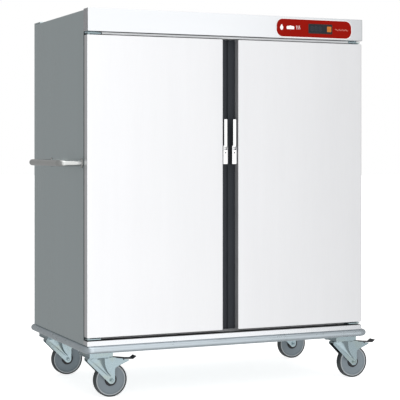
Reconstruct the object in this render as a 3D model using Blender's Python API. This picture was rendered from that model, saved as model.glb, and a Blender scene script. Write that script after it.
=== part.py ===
"""Heated proofing cabinet on castors: two doors, tray slides, fans, push handle and bumper rail.

Lengths are in metres. X runs across the front, Y runs back from the door fronts and Z runs up from
the floor. Everything hangs on one empty, which puts the centre of the footprint at the world origin.
"""

from math import cos, pi, radians, sin, sqrt, tan

import bmesh
import bpy
import numpy as np
from mathutils import Matrix, Vector

# Overall sizes
BODY_WIDTH = 1.450
BODY_DEPTH = 0.850
SIDE_TOP = 1.8075
REAR_RISE = 0.007
REAR_CAP_DEPTH = 0.100
WHEEL_RADIUS = 0.080

# Sheet metal and clearances
SKIN = 0.0015
TOUCH = 0.0003
BITE = 0.001
SIDE_RETURN = 0.020
BACK_RETURN = 0.025
TOP_FLANGE = 0.020

# Front
FRONT_SETBACK = 0.0525
FASCIA_PROUD = 0.009
FASCIA_TOP = 1.8136
FASCIA_HEIGHT = 0.1076
FASCIA_GAP = 0.015
SILL_HEIGHT = 0.025
SILL_GAP = 0.0145
FRAME_THICKNESS = 0.020
FRAME_BOTTOM_RAIL = 0.077
FRAME_SIDE_STILE = 0.115
FRAME_HEAD = 0.038
MULLION_HALF = 0.055

# Castors and chassis
CASTOR_HEIGHT = 0.200
CASTOR_INSET_X = 0.080
CASTOR_FRONT_Y = 0.124
CASTOR_REAR_INSET = 0.063
TRAIL = 0.0745
PLATE_SIZE = (0.110, 0.140)
PLATE_BOLTS = (0.080, 0.105)
PLATE_THICKNESS = 0.006
BOLT_HEAD_RADIUS = 0.0085
BOLT_HEAD_HEIGHT = 0.005
KINGPIN_RADIUS = 0.006
SWIVEL_RADIUS = 0.0365
FORK_SHEET = 0.003
DECK_THICKNESS = 0.0075
FORK_PLAY = 0.0015
DECK_REAR = 0.044
DECK_OVERHANG = 0.0355
ARM_OVERHANG = 0.0875
ARM_DROP = 0.017
PLAIN_ARM_DROP = 0.027
WAIST_OFFSET = 0.012
WAIST_HEIGHT = 0.137
AXLE_BOSS = 0.018
WHEEL_HALF_WIDTH = 0.017
HUB_HALF_WIDTH = 0.020
HUB_RADIUS = 0.017
WEB_RADIUS = 0.0528
WEB_HALF_WIDTH = 0.009
RIM_INNER = 0.0576
TREAD_EDGE = 0.0752
TREAD_DROP = 0.005
RIM_STEP = 0.001
AXLE_RADIUS = 0.0047
AXLE_END = 0.003
NUT_RADIUS = 0.0085
NUT_LENGTH = 0.007
RUNNING = 0.0004
PEDAL_OVERHANG = 0.038
PEDAL_HALF_WIDTH = 0.028
PEDAL_THICKNESS = 0.004
PEDAL_PIN_RADIUS = 0.003
PEDAL_PIN_INSET = 0.027
PEDAL_PIN_DROP = 0.006
PEDAL_TAIL = 0.018
KING_PIN_END = 0.012
KING_NUT_RADIUS = 0.011
KING_NUT_LENGTH = 0.009
PLATE_CORNER = 0.010
CHASSIS_DEPTH = 0.036
CHASSIS_BOTTOM = 0.222
CHASSIS_SHEET = 0.003
PAD_MARGIN = 0.012
BEAM_HALF = 0.030
BUMPER_RADIUS = 0.016
BUMPER_CORNER = 0.032
BUMPER_DROP = 0.016
CHASSIS_RIGHT = 0.020
CHASSIS_REAR = 0.030

# Doors
DOOR_SHELL = 0.040
DOOR_PACK = 0.0425
RECESS_HALF = 0.0405
RECESS_DEPTH = 0.0385
MEETING_GAP = 0.003
MEETING_LIP = 0.004
HINGE_INSET = 0.015
HINGE_DEPTH = 0.021
HINGE_PIN_RADIUS = 0.005
HINGE_PIN_LENGTH = 0.020
HINGE_PLATE_LENGTH = 0.065
HINGE_PLATE_THICKNESS = 0.0045
HINGE_LEG = 0.003
HINGE_COLLAR_RADIUS = 0.008
HINGE_PLATE_INSET = 0.005
HINGE_PLATE_LEAD = 0.013
HINGE_PIN_PLAY = 0.0005
HINGE_PIN_END = 0.004
GASKET_INSET = 0.024
GASKET_WIDTH = 0.014
GASKET_TOP_INSET = 0.0125
GASKET_MEETING = 0.020

# Door handles
HANDLE_INNER = 0.0107
HANDLE_WIDTH = 0.0257
HANDLE_FRONT = 0.006
HANDLE_BOTTOM = 1.092
HANDLE_FLOOR = 1.160
CHEEK_TOP = 1.182
CHEEK_SHEET = 0.0037
LEVER_TOP = 1.309
LEVER_FRONT = 0.0035
LEVER_THICKNESS = 0.009
LEVER_CLEARANCE = 0.0006
NECK_TOP = 1.2155
LEVER_BOSS = 0.0085
LEVER_PIVOT_Y = 0.020
LEVER_PIN_RADIUS = 0.0025
LEVER_PIN_PLAY = 0.0004
LEVER_EDGE = 0.003
LEVER_SHOULDER = 0.008
NECK_CORNER = 0.008
NECK_STEP = 0.006
NECK_RISE = 0.004

# Control panel
LABEL_LEFT = 0.240
LABEL_LENGTH = 0.422
LABEL_HEIGHT = 0.091
LABEL_CORNER = 0.028
LABEL_SHEET = 0.001
LABEL_DROP = 0.0018
WINDOW_OFFSET = 0.1795
CONTROL_LENGTH = 0.1295
CONTROL_HEIGHT = 0.043
CONTROL_DEPTH = 0.045
CONTROL_RIM = 0.006
KEY_SIZE = (0.0240, 0.0270)
KEY_THICKNESS = 0.0030
KEY_PROUD = 0.0007
KEY_TRAVEL = 0.0015

# Push handle
PUSH_TUBE = 0.015
PUSH_HEIGHT = 1.100
PUSH_STANDOFF = 0.106
PUSH_FRONT_Y = 0.075
PUSH_LENGTH = 0.470
PUSH_ELBOW = 0.026
PUSH_FLANGE_RADIUS = 0.026
PUSH_FLANGE_THICKNESS = 0.004

# Chamber
WALL = 0.060
REAR_WALL = 0.052
ROOF_DEPTH = 0.136
RACK_SHEET = 0.0015
BAY_WIDTH = 0.540
BAY_INNER = 0.0625
LEDGE_REACH = 0.022
LEDGE_THICKNESS = 0.002
LEDGE_LIP = 0.010
LAST_LEDGE_GAP = 0.030
LEDGE_PITCH = 0.120
FIRST_LEDGE = 0.075
RACK_MARGIN = 0.010
RACK_FRONT_GAP = 0.012
RACK_END_GAP = 0.015
SPACER_HALF = 0.012
SPACER_EDGE = 0.050
PLENUM_DEPTH = 0.058
BAFFLE_MARGIN = 0.010

# Air system
FAN_X = 0.330
FAN_Z = 1.050
FAN_RADIUS = 0.085
FAN_DEPTH = 0.014
FAN_HUB = 0.018
FAN_BLADES = 7
FAN_RIM = 0.001
FAN_DISC_RADIUS = 0.0765
BLADE_HALF = 0.0012
BLADE_LEAN = 28
BLADE_ROOT = 0.002
FAN_CLEARANCE = 0.008
MOTOR_RADIUS = 0.045
MOTOR_LENGTH = 0.030
SHAFT_RADIUS = 0.004
SHAFT_BITE = 0.002
GRILLE_MARGIN = 0.010
GRILLE_SLOTS = 7
GRILLE_SLOT = 0.012
GRILLE_PITCH = 0.024
OUTLET_SLOTS = 6
OUTLET_SIZE = (0.030, 0.100)
OUTLET_PITCH = 0.200
OUTLET_X = 0.590
HEATER_RADIUS = 0.0042
HEATER_WIDTH = 0.900
HEATER_PASS = 0.070
HEATER_Z = 0.560
HEATER_BEND = 0.030

# Humidity pan
PAN_DEPTH = 0.240
PAN_HEIGHT = 0.045
PAN_SHEET = 0.0015
PAN_PLAY = 0.004

# Power inlet on the back skin
INLET_X = 0.520
INLET_Z = 0.420
INLET_PLATE = (0.070, 0.090)
INLET_PLATE_THICKNESS = 0.004
INLET_RING = 0.026
INLET_BORE = 0.020
INLET_LENGTH = 0.0115
INLET_CORNER = 0.008

# Derived places
CHASSIS_TOP = CHASSIS_BOTTOM + CHASSIS_DEPTH
BODY_BOTTOM = CHASSIS_TOP + TOUCH
HALF_WIDTH = BODY_WIDTH / 2
SILL_TOP = CHASSIS_TOP + SILL_HEIGHT
DOOR_BOTTOM = SILL_TOP + SILL_GAP
FASCIA_BOTTOM = FASCIA_TOP - FASCIA_HEIGHT
DOOR_TOP = FASCIA_BOTTOM - FASCIA_GAP
FRAME_BACK = FRONT_SETBACK + FRAME_THICKNESS
CASTOR_X = HALF_WIDTH - CASTOR_INSET_X
CASTOR_REAR_Y = BODY_DEPTH - CASTOR_REAR_INSET
AXLE_HOLE = AXLE_RADIUS + RUNNING
DECK_TOP = CASTOR_HEIGHT - PLATE_THICKNESS - BOLT_HEAD_HEIGHT - FORK_PLAY
DECK_BOTTOM = DECK_TOP - DECK_THICKNESS
FORK_HALF = HUB_HALF_WIDTH + FORK_PLAY + FORK_SHEET
DECK_FRONT = TRAIL + DECK_OVERHANG
ARM_REACH = TRAIL + ARM_OVERHANG
PEDAL_REACH = ARM_REACH + PEDAL_OVERHANG
PEDAL_PIVOT = (ARM_REACH - PEDAL_PIN_INSET, DECK_BOTTOM - PEDAL_PIN_DROP)
HINGE_X = HALF_WIDTH - HINGE_INSET
LEVER_PIVOT_Z = HANDLE_FLOOR + LEVER_BOSS + 2 * LEVER_CLEARANCE
LINER_HALF = HALF_WIDTH - WALL
LINER_FLOOR = BODY_BOTTOM + WALL
LINER_ROOF = SIDE_TOP - ROOF_DEPTH
LINER_FRONT = FRAME_BACK + TOUCH
LINER_BACK = BODY_DEPTH - REAR_WALL
OPENING_BOTTOM = BODY_BOTTOM + FRAME_BOTTOM_RAIL
OPENING_TOP = DOOR_TOP - FRAME_HEAD
OPENING_OUTER = HALF_WIDTH - FRAME_SIDE_STILE
BAY_OUTER = BAY_INNER + BAY_WIDTH
BAFFLE_FRONT = LINER_BACK - PLENUM_DEPTH
RACK_FRONT = LINER_FRONT + RACK_FRONT_GAP
RACK_BACK = BAFFLE_FRONT - RACK_END_GAP
RACK_BOTTOM = LINER_FLOOR + RACK_MARGIN
RACK_TOP = LINER_ROOF - RACK_MARGIN
LABEL_CENTRE_Z = (FASCIA_BOTTOM + FASCIA_TOP) / 2 - LABEL_DROP
CONTROL_LEFT = LABEL_LEFT + WINDOW_OFFSET
FASCIA_FRONT = -FASCIA_PROUD
LABEL_FRONT = FASCIA_FRONT - TOUCH - LABEL_SHEET
SMOOTH_ANGLE = radians(35)

# Footprint of everything, used to centre the cabinet over the world origin
LEFT_REACH = HALF_WIDTH + PUSH_STANDOFF + PUSH_TUBE
RIGHT_REACH = CASTOR_X + CHASSIS_RIGHT + PEDAL_REACH
CENTRE_X = (RIGHT_REACH - LEFT_REACH) / 2
CENTRE_Y = (BODY_DEPTH + CHASSIS_REAR) / 2


def clear_scene():
    for old in list(bpy.data.objects):
        bpy.data.objects.remove(old, do_unlink=True)


def material(name, colour, roughness, metallic):
    """A Principled finish; one that exists already is used again."""
    found = bpy.data.materials.get(name)
    if found:
        return found
    made = bpy.data.materials.new(name)
    made.use_nodes = True
    shader = made.node_tree.nodes["Principled BSDF"]
    shader.inputs["Base Color"].default_value = (*colour, 1.0)
    shader.inputs["Roughness"].default_value = roughness
    shader.inputs["Metallic"].default_value = metallic
    return made


FINISHES = {
    "stainless_door": ((0.80, 0.80, 0.81), 0.32, 1.0),
    "stainless_body": ((0.56, 0.58, 0.59), 0.38, 1.0),
    "stainless_liner": ((0.70, 0.71, 0.72), 0.35, 1.0),
    "polished_chrome": ((0.86, 0.86, 0.87), 0.08, 1.0),
    "zinc_plate": ((0.62, 0.66, 0.70), 0.34, 1.0),
    "black_steel": ((0.03, 0.03, 0.035), 0.5, 0.6),
    "bumper_grey": ((0.42, 0.44, 0.46), 0.5, 0.0),
    "dark_profile": ((0.035, 0.040, 0.046), 0.5, 0.0),
    "frame_plastic": ((0.62, 0.63, 0.64), 0.45, 0.0),
    "gasket_rubber": ((0.05, 0.05, 0.055), 0.75, 0.0),
    "foam_white": ((0.80, 0.78, 0.70), 0.9, 0.0),
    "door_core": ((0.78, 0.79, 0.80), 0.5, 0.0),
    "label_red": ((0.45, 0.012, 0.010), 0.4, 0.0),
    "display_black": ((0.03, 0.032, 0.04), 0.15, 0.0),
    "key_orange": ((0.85, 0.22, 0.02), 0.45, 0.0),
    "wheel_grey": ((0.28, 0.30, 0.33), 0.6, 0.0),
    "motor_aluminium": ((0.60, 0.61, 0.62), 0.45, 1.0),
    "heater_steel": ((0.30, 0.26, 0.22), 0.4, 1.0),
    "inlet_black": ((0.03, 0.03, 0.03), 0.5, 0.0),
}


def link(name, data):
    made = bpy.data.objects.new(name, data)
    bpy.context.scene.collection.objects.link(made)
    return made


def empty(name, place, parent=None):
    """An empty at a place in the cabinet's own frame; it keeps that place for what is hung on it."""
    made = link(name, None)
    made.parent = parent
    before = Vector(parent["place"]) if parent else Vector((0, 0, 0))
    made.location = Vector(place) - before
    made["place"] = tuple(place)
    return made


def hang(piece, holder):
    """Parents a piece, whose mesh is in the cabinet's frame, and what cuts or joins it, without moving it."""
    for part in [piece, *(modifier.object for modifier in piece.modifiers)]:
        part.parent = holder
        part.location = -Vector(holder["place"])
    return piece


def finish(piece, slot):
    piece.data.materials.clear()
    piece.data.materials.append(material(slot, *FINISHES[slot]))
    if piece.type == "MESH":
        piece.data.shade_smooth()
        piece.data.set_sharp_from_angle(angle=SMOOTH_ANGLE)
    return piece


def mesh_from(name, fill):
    """A mesh object whose bmesh is filled by the given function."""
    shape = bmesh.new()
    fill(shape)
    bmesh.ops.recalc_face_normals(shape, faces=shape.faces)
    data = bpy.data.meshes.new(name)
    shape.to_mesh(data)
    shape.free()
    return link(name, data)


def add_box(shape, low, high):
    size = Vector(high) - Vector(low)
    middle = (Vector(high) + Vector(low)) / 2
    placing = Matrix.Translation(middle) @ Matrix.Diagonal((*size, 1))
    bmesh.ops.create_cube(shape, size=1, matrix=placing)


def boxes(name, spans):
    """One mesh of separate boxes, each given by its low and its high corner."""

    def fill(shape):
        for low, high in spans:
            add_box(shape, low, high)

    return mesh_from(name, fill)


def box(name, low, high):
    return boxes(name, [(low, high)])


TURNED_TO = {"X": Matrix.Rotation(pi / 2, 4, "Y"), "Y": Matrix.Rotation(-pi / 2, 4, "X"), "Z": Matrix()}


def cylinder(name, centre, radius, length, axis, sides=20):
    def fill(shape):
        placing = Matrix.Translation(centre) @ TURNED_TO[axis]
        bmesh.ops.create_cone(
            shape, cap_ends=True, segments=sides, radius1=radius, radius2=radius, depth=length, matrix=placing
        )

    return mesh_from(name, fill)


def prism(name, outline, low, high, axis):
    """An outline in the two axes other than the given one, in X, Y, Z order, drawn out along it."""
    place = {"X": lambda a, b, t: (t, a, b), "Y": lambda a, b, t: (a, t, b), "Z": lambda a, b, t: (a, b, t)}[axis]

    def fill(shape):
        face = shape.faces.new([shape.verts.new(place(a, b, low)) for a, b in outline])
        drawn = bmesh.ops.extrude_face_region(shape, geom=[face])
        moved = [part for part in drawn["geom"] if isinstance(part, bmesh.types.BMVert)]
        bmesh.ops.translate(shape, vec=place(0, 0, high - low), verts=moved)

    return mesh_from(name, fill)


def turned(name, profile, centre, axis, sides=24):
    """A closed (radius, height) profile spun round an axis; a vertex of each ring points straight down."""

    def fill(shape):
        rings = []
        for step in range(sides):
            angle = 2 * pi * step / sides
            rings.append([shape.verts.new((-r * cos(angle), r * sin(angle), h)) for r, h in profile])
        count = len(profile)
        for step in range(sides):
            near, far = rings[step], rings[(step + 1) % sides]
            for k in range(count):
                shape.faces.new((near[k], near[(k + 1) % count], far[(k + 1) % count], far[k]))
        down = Matrix.Rotation(-pi / 2, 4, "Z") if axis == "Y" else Matrix()
        bmesh.ops.transform(shape, matrix=Matrix.Translation(centre) @ TURNED_TO[axis] @ down, verts=shape.verts)

    return mesh_from(name, fill)


def helper(piece):
    piece.hide_render = True
    piece.display_type = "WIRE"
    return piece


def combine(piece, other, operation):
    change = piece.modifiers.new(other.name, "BOOLEAN")
    change.operation = operation
    change.solver = "EXACT"
    change.object = helper(other)
    return piece


def cut(piece, other):
    return combine(piece, other, "DIFFERENCE")


def weld(piece, other):
    return combine(piece, other, "UNION")


def realise(piece):
    """Works out the modifiers and keeps the result as the plain mesh of the piece."""
    tools = [modifier.object for modifier in piece.modifiers]
    bpy.context.view_layer.update()
    graph = bpy.context.evaluated_depsgraph_get()
    worked = bpy.data.meshes.new_from_object(piece.evaluated_get(graph))
    piece.modifiers.clear()
    piece.data = worked
    for tool in tools:
        bpy.data.objects.remove(tool)
    return piece


def copies(piece, slot, places):
    """Objects that share the mesh of one worked-out piece, each at its own place. The piece itself goes."""
    shared = finish(realise(piece), slot).data
    made = {}
    for name, (place, holder) in places.items():
        made[name] = link(name, shared)
        made[name].parent = holder
        made[name].location = Vector(place) - Vector(holder["place"])
    bpy.data.objects.remove(piece)
    return made


def rounded_path(corners, radius, steps, cyclic=False):
    """Corner points joined by straight runs, with each inner corner replaced by an arc."""
    points = []
    last = len(corners) - 1
    for index, corner in enumerate(corners):
        if not cyclic and index in (0, last):
            points.append(Vector(corner))
            continue
        here = Vector(corner)
        back = (Vector(corners[index - 1]) - here).normalized()
        ahead = (Vector(corners[(index + 1) % len(corners)]) - here).normalized()
        half = back.angle(ahead) / 2
        centre = here + (back + ahead).normalized() * (radius / sin(half))
        start = here + back * (radius / tan(half)) - centre
        end = here + ahead * (radius / tan(half)) - centre
        sweep = pi - 2 * half
        for step in range(steps + 1):
            turn = sweep * step / steps
            points.append(centre + (start * sin(sweep - turn) + end * sin(turn)) / sin(sweep))
    return points


def tube(name, points, radius, resolution, cyclic=False):
    """A round bar or tube along a path."""
    curve = bpy.data.curves.new(name, "CURVE")
    curve.dimensions = "3D"
    curve.bevel_depth = radius
    curve.bevel_resolution = resolution
    curve.use_fill_caps = True
    spline = curve.splines.new("POLY")
    spline.points.add(len(points) - 1)
    for held, point in zip(spline.points, points):
        held.co = (*point, 1)
    spline.use_cyclic_u = cyclic
    made = link(name, curve)
    bpy.context.view_layer.update()
    graph = bpy.context.evaluated_depsgraph_get()
    data = bpy.data.meshes.new_from_object(made.evaluated_get(graph))
    bpy.data.objects.remove(made)
    return link(name, data)


def arc(centre, radius, start, end, steps):
    """Points on a circle between two angles in degrees."""
    angles = np.radians(np.linspace(start, end, steps))
    return [(centre[0] + radius * cos(a), centre[1] + radius * sin(a)) for a in angles]


def rounded_rectangle(low, high, radius, steps=6):
    (x0, z0), (x1, z1) = low, high
    return (
        arc((x1 - radius, z1 - radius), radius, 0, 90, steps)
        + arc((x0 + radius, z1 - radius), radius, 90, 180, steps)
        + arc((x0 + radius, z0 + radius), radius, 180, 270, steps)
        + arc((x1 - radius, z0 + radius), radius, 270, 360, steps)
    )


def span(side, inner, outer):
    """The low and high X of something that runs from inner to outer on one side, -1 or 1."""
    return (min(side * inner, side * outer), max(side * inner, side * outer))


def castor_places():
    """Name, swivel axis and whether there is a brake, for the four castors."""
    for end, y in (("front", CASTOR_FRONT_Y), ("rear", CASTOR_REAR_Y)):
        for side, x in (("left", -CASTOR_X), ("right", CASTOR_X + CHASSIS_RIGHT)):
            yield f"{end}_{side}", (x, y), end == "front"


def make_chassis(root):
    edge = BUMPER_RADIUS + 2 * TOUCH
    low = (-HALF_WIDTH + edge, edge, CHASSIS_BOTTOM)
    high = (HALF_WIDTH + CHASSIS_RIGHT - edge, BODY_DEPTH + CHASSIS_REAR - edge, CHASSIS_TOP)
    outline = rounded_rectangle(low[:2], high[:2], BUMPER_CORNER, 5)
    chassis = prism("chassis", outline, CHASSIS_BOTTOM, CHASSIS_TOP, "Z")
    sheet = CHASSIS_SHEET
    hollow_low = (low[0] + sheet, low[1] + sheet, CHASSIS_BOTTOM - sheet)
    hollow_high = (high[0] - sheet, high[1] - sheet, CHASSIS_TOP - sheet)
    hollow = rounded_rectangle(hollow_low[:2], hollow_high[:2], BUMPER_CORNER - sheet, 5)
    cut(chassis, prism("chassis_hollow", hollow, hollow_low[2], hollow_high[2], "Z"))
    pad_bottom = CASTOR_HEIGHT + TOUCH
    pad_top = CHASSIS_TOP - sheet / 2
    for name, (x, y), _ in castor_places():
        reach_x = PLATE_SIZE[0] / 2 + PAD_MARGIN / 2
        reach_y = PLATE_SIZE[1] / 2 + PAD_MARGIN
        inset = BUMPER_CORNER / 3
        pad_low = (max(x - reach_x, low[0] + inset), max(y - reach_y, low[1] + inset), pad_bottom)
        pad_high = (min(x + reach_x, high[0] - inset), min(y + reach_y, high[1] - inset), pad_top)
        weld(chassis, box(f"{name}_pad", pad_low, pad_high))
    for end, y in (("front", CASTOR_FRONT_Y), ("rear", CASTOR_REAR_Y)):
        beam_low = (-CASTOR_X, y - BEAM_HALF, CHASSIS_BOTTOM + sheet)
        beam_high = (CASTOR_X, y + BEAM_HALF, pad_top)
        weld(chassis, box(f"{end}_beam", beam_low, beam_high))
    hang(finish(chassis, "black_steel"), root)


def make_bumper(root):
    height = CHASSIS_TOP - BUMPER_DROP
    right, rear = HALF_WIDTH + CHASSIS_RIGHT, BODY_DEPTH + CHASSIS_REAR
    corners = [(-HALF_WIDTH, 0, height), (right, 0, height), (right, rear, height), (-HALF_WIDTH, rear, height)]
    path = rounded_path(corners, BUMPER_CORNER, 5, cyclic=True)
    hang(finish(tube("bumper_rail", path, BUMPER_RADIUS, 2, cyclic=True), "bumper_grey"), root)


def make_skins(root):
    back_edge = BODY_DEPTH - BACK_RETURN - TOUCH
    for name, side in (("left_side_panel", -1), ("right_side_panel", 1)):
        low_x, high_x = span(side, HALF_WIDTH - SIDE_RETURN, HALF_WIDTH)
        panel = box(name, (low_x, FRONT_SETBACK, BODY_BOTTOM), (high_x, back_edge, SIDE_TOP))
        in_x, out_x = span(side, HALF_WIDTH - SIDE_RETURN - SKIN, HALF_WIDTH - SKIN)
        hollow_low = (in_x, FRONT_SETBACK + SKIN, BODY_BOTTOM + SKIN)
        hollow_high = (out_x, back_edge - SKIN, SIDE_TOP - SKIN)
        cut(panel, box(f"{name}_hollow", hollow_low, hollow_high))
        hang(finish(panel, "stainless_body"), root)

    reach = HALF_WIDTH - SIDE_RETURN - TOUCH
    top = box("top_panel", (-reach, FRONT_SETBACK, SIDE_TOP - TOP_FLANGE), (reach, back_edge, SIDE_TOP))
    hollow_low = (-reach + SKIN, FRONT_SETBACK + SKIN, SIDE_TOP - 2 * TOP_FLANGE)
    hollow_high = (reach - SKIN, back_edge - SKIN, SIDE_TOP - SKIN)
    cut(top, box("top_hollow", hollow_low, hollow_high))
    hang(finish(top, "stainless_body"), root)

    cap_top = SIDE_TOP + REAR_RISE
    inner_y = BODY_DEPTH - BACK_RETURN
    cap_front = BODY_DEPTH - REAR_CAP_DEPTH
    cap_bottom = SIDE_TOP + TOUCH
    outline = [(inner_y, BODY_BOTTOM), (BODY_DEPTH, BODY_BOTTOM), (BODY_DEPTH, cap_top), (cap_front, cap_top)]
    outline += [(cap_front, cap_bottom), (inner_y, cap_bottom)]
    back = prism("back_panel", outline, -HALF_WIDTH, HALF_WIDTH, "X")
    hollow_low = (-HALF_WIDTH + SKIN, inner_y - SKIN, BODY_BOTTOM + SKIN)
    hollow_high = (HALF_WIDTH - SKIN, BODY_DEPTH - SKIN, SIDE_TOP - SKIN)
    cut(back, box("back_hollow", hollow_low, hollow_high))
    hang(finish(back, "stainless_body"), root)


def make_front(root):
    reach = HALF_WIDTH - SIDE_RETURN - TOUCH
    frame_top = SIDE_TOP - TOP_FLANGE - TOUCH
    frame = box("front_frame", (-reach, FRONT_SETBACK, BODY_BOTTOM), (reach, FRAME_BACK, frame_top))
    for name, side in (("left", -1), ("right", 1)):
        low_x, high_x = span(side, MULLION_HALF, OPENING_OUTER)
        doorway_low = (low_x, FRONT_SETBACK - SKIN, OPENING_BOTTOM)
        cut(frame, box(f"{name}_doorway", doorway_low, (high_x, FRAME_BACK + SKIN, OPENING_TOP)))
    hang(finish(frame, "frame_plastic"), root)

    back = FRONT_SETBACK - TOUCH
    fascia = box("header_fascia", (-HALF_WIDTH, FASCIA_FRONT, FASCIA_BOTTOM), (HALF_WIDTH, back, FASCIA_TOP))
    hollow_low = (-HALF_WIDTH + SKIN, FASCIA_FRONT + SKIN, FASCIA_BOTTOM + SKIN)
    cut(fascia, box("fascia_hollow", hollow_low, (HALF_WIDTH - SKIN, back + SKIN, FASCIA_TOP - SKIN)))
    cut(fascia, control_opening("fascia_window", FASCIA_FRONT - SKIN, FASCIA_FRONT + 2 * SKIN))
    hang(finish(fascia, "stainless_door"), root)

    sill = box("sill_panel", (-HALF_WIDTH, 0, BODY_BOTTOM), (HALF_WIDTH, back, SILL_TOP))
    hollow_low = (-HALF_WIDTH + SKIN, SKIN, BODY_BOTTOM + SKIN)
    cut(sill, box("sill_hollow", hollow_low, (HALF_WIDTH - SKIN, back + SKIN, SILL_TOP - SKIN)))
    hang(finish(sill, "stainless_door"), root)


def control_opening(name, front, back):
    """The cut-out that the controller's face comes through, in the fascia and in the label."""
    low = (CONTROL_LEFT - TOUCH, front, LABEL_CENTRE_Z - CONTROL_HEIGHT / 2 - TOUCH)
    high = (CONTROL_LEFT + CONTROL_LENGTH + TOUCH, back, LABEL_CENTRE_Z + CONTROL_HEIGHT / 2 + TOUCH)
    return box(name, low, high)


def make_controls(root):
    label_low = (LABEL_LEFT, LABEL_CENTRE_Z - LABEL_HEIGHT / 2)
    label_high = (LABEL_LEFT + LABEL_LENGTH, LABEL_CENTRE_Z + LABEL_HEIGHT / 2)
    outline = rounded_rectangle(label_low, label_high, LABEL_CORNER)
    label = prism("control_overlay", outline, LABEL_FRONT, FASCIA_FRONT - TOUCH, "Y")
    cut(label, control_opening("label_window", LABEL_FRONT - SKIN, FASCIA_FRONT + SKIN))
    hang(finish(label, "label_red"), root)

    bottom = LABEL_CENTRE_Z - CONTROL_HEIGHT / 2
    top = LABEL_CENTRE_Z + CONTROL_HEIGHT / 2
    right = CONTROL_LEFT + CONTROL_LENGTH
    housing_front = FASCIA_FRONT + SKIN + TOUCH
    controller = box("controller", (CONTROL_LEFT, LABEL_FRONT, bottom), (right, housing_front + SKIN, top))
    rim = CONTROL_RIM
    housing_low = (CONTROL_LEFT - rim, housing_front, bottom - rim)
    weld(controller, box("controller_housing", housing_low, (right + rim, CONTROL_DEPTH, top + rim)))
    x = right - CONTROL_RIM / 2 - KEY_SIZE[0] / 2
    half_x, half_z = KEY_SIZE[0] / 2 + TOUCH, KEY_SIZE[1] / 2 + TOUCH
    floor = LABEL_FRONT + KEY_TRAVEL + KEY_THICKNESS
    pocket_low = (x - half_x, LABEL_FRONT - SKIN, LABEL_CENTRE_Z - half_z)
    cut(controller, box("key_pocket", pocket_low, (x + half_x, floor, LABEL_CENTRE_Z + half_z)))
    hang(finish(controller, "display_black"), root)

    holder = empty("key_guide", (x, LABEL_FRONT, LABEL_CENTRE_Z), root)
    half_x, half_z = KEY_SIZE[0] / 2, KEY_SIZE[1] / 2
    key_low = (x - half_x, LABEL_FRONT - KEY_PROUD, LABEL_CENTRE_Z - half_z)
    key = box("control_key", key_low, (x + half_x, floor - KEY_TRAVEL - TOUCH, LABEL_CENTRE_Z + half_z))
    hang(finish(key, "key_orange"), holder)


def make_push_handle(root):
    wall = -HALF_WIDTH - TOUCH
    reach = -HALF_WIDTH - PUSH_STANDOFF
    back_y = PUSH_FRONT_Y + PUSH_LENGTH
    corners = [
        (wall - PUSH_FLANGE_THICKNESS / 2, PUSH_FRONT_Y, PUSH_HEIGHT),
        (reach, PUSH_FRONT_Y, PUSH_HEIGHT),
        (reach, back_y, PUSH_HEIGHT),
        (wall - PUSH_FLANGE_THICKNESS / 2, back_y, PUSH_HEIGHT),
    ]
    handle = tube("push_handle", rounded_path(corners, PUSH_ELBOW, 5), PUSH_TUBE, 3)
    for name, y in (("front_flange", PUSH_FRONT_Y), ("rear_flange", back_y)):
        middle = (wall - PUSH_FLANGE_THICKNESS / 2, y, PUSH_HEIGHT)
        reach_y = min(PUSH_FLANGE_RADIUS, PUSH_FRONT_Y - FRONT_SETBACK)
        weld(handle, cylinder(name, middle, reach_y, PUSH_FLANGE_THICKNESS, "X"))
    hang(finish(handle, "stainless_door"), root)


def make_insulation_and_liner(root):
    half, floor, roof = LINER_HALF, LINER_FLOOR, LINER_ROOF
    skin, back = SKIN, LINER_BACK + SKIN
    liner = box("liner", (-half - skin, LINER_FRONT, floor - skin), (half + skin, back, roof + skin))
    cut(liner, box("liner_hollow", (-half, LINER_FRONT - skin, floor), (half, LINER_BACK, roof)))
    hang(finish(liner, "stainless_liner"), root)

    reach = HALF_WIDTH - SIDE_RETURN - TOUCH
    foam_back = BODY_DEPTH - BACK_RETURN - TOUCH
    foam_top = (roof + SIDE_TOP) / 2
    foam = box("insulation", (-reach, LINER_FRONT, BODY_BOTTOM), (reach, foam_back, foam_top))
    gap = skin + TOUCH
    core_low = (-half - gap, LINER_FRONT - skin, floor - gap)
    cut(foam, box("foam_core", core_low, (half + gap, LINER_BACK + gap, roof + gap)))
    hang(finish(foam, "foam_white"), root)


def ledge_outline(side, x, height):
    """An angle ledge: out from the sheet and down at its edge. The sheet is at x, the bay towards side."""
    tip = x + side * LEDGE_REACH
    back = tip - side * LEDGE_THICKNESS
    base = x - side * RACK_SHEET / 2
    lower = height - LEDGE_THICKNESS
    return [(base, height), (tip, height), (tip, height - LEDGE_LIP), (back, height - LEDGE_LIP), (back, lower), (base, lower)]


def ledge_heights():
    first = RACK_BOTTOM + FIRST_LEDGE
    count = int((RACK_TOP - LAST_LEDGE_GAP - first) / LEDGE_PITCH + 1e-6) + 1
    return [first + LEDGE_PITCH * index for index in range(count)]


def rack_panel(name, x, facing):
    """A sheet with ledges that reach into the bay on its facing side, -1 or 1."""
    low_x, high_x = sorted((x, x - facing * RACK_SHEET))
    rack = box(name, (low_x, RACK_FRONT, RACK_BOTTOM), (high_x, RACK_BACK, RACK_TOP))
    for index, height in enumerate(ledge_heights()):
        outline = ledge_outline(facing, x, height)
        weld(rack, prism(f"{name}_ledge_{index}", outline, RACK_FRONT, RACK_BACK, "Y"))
    return rack


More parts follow.
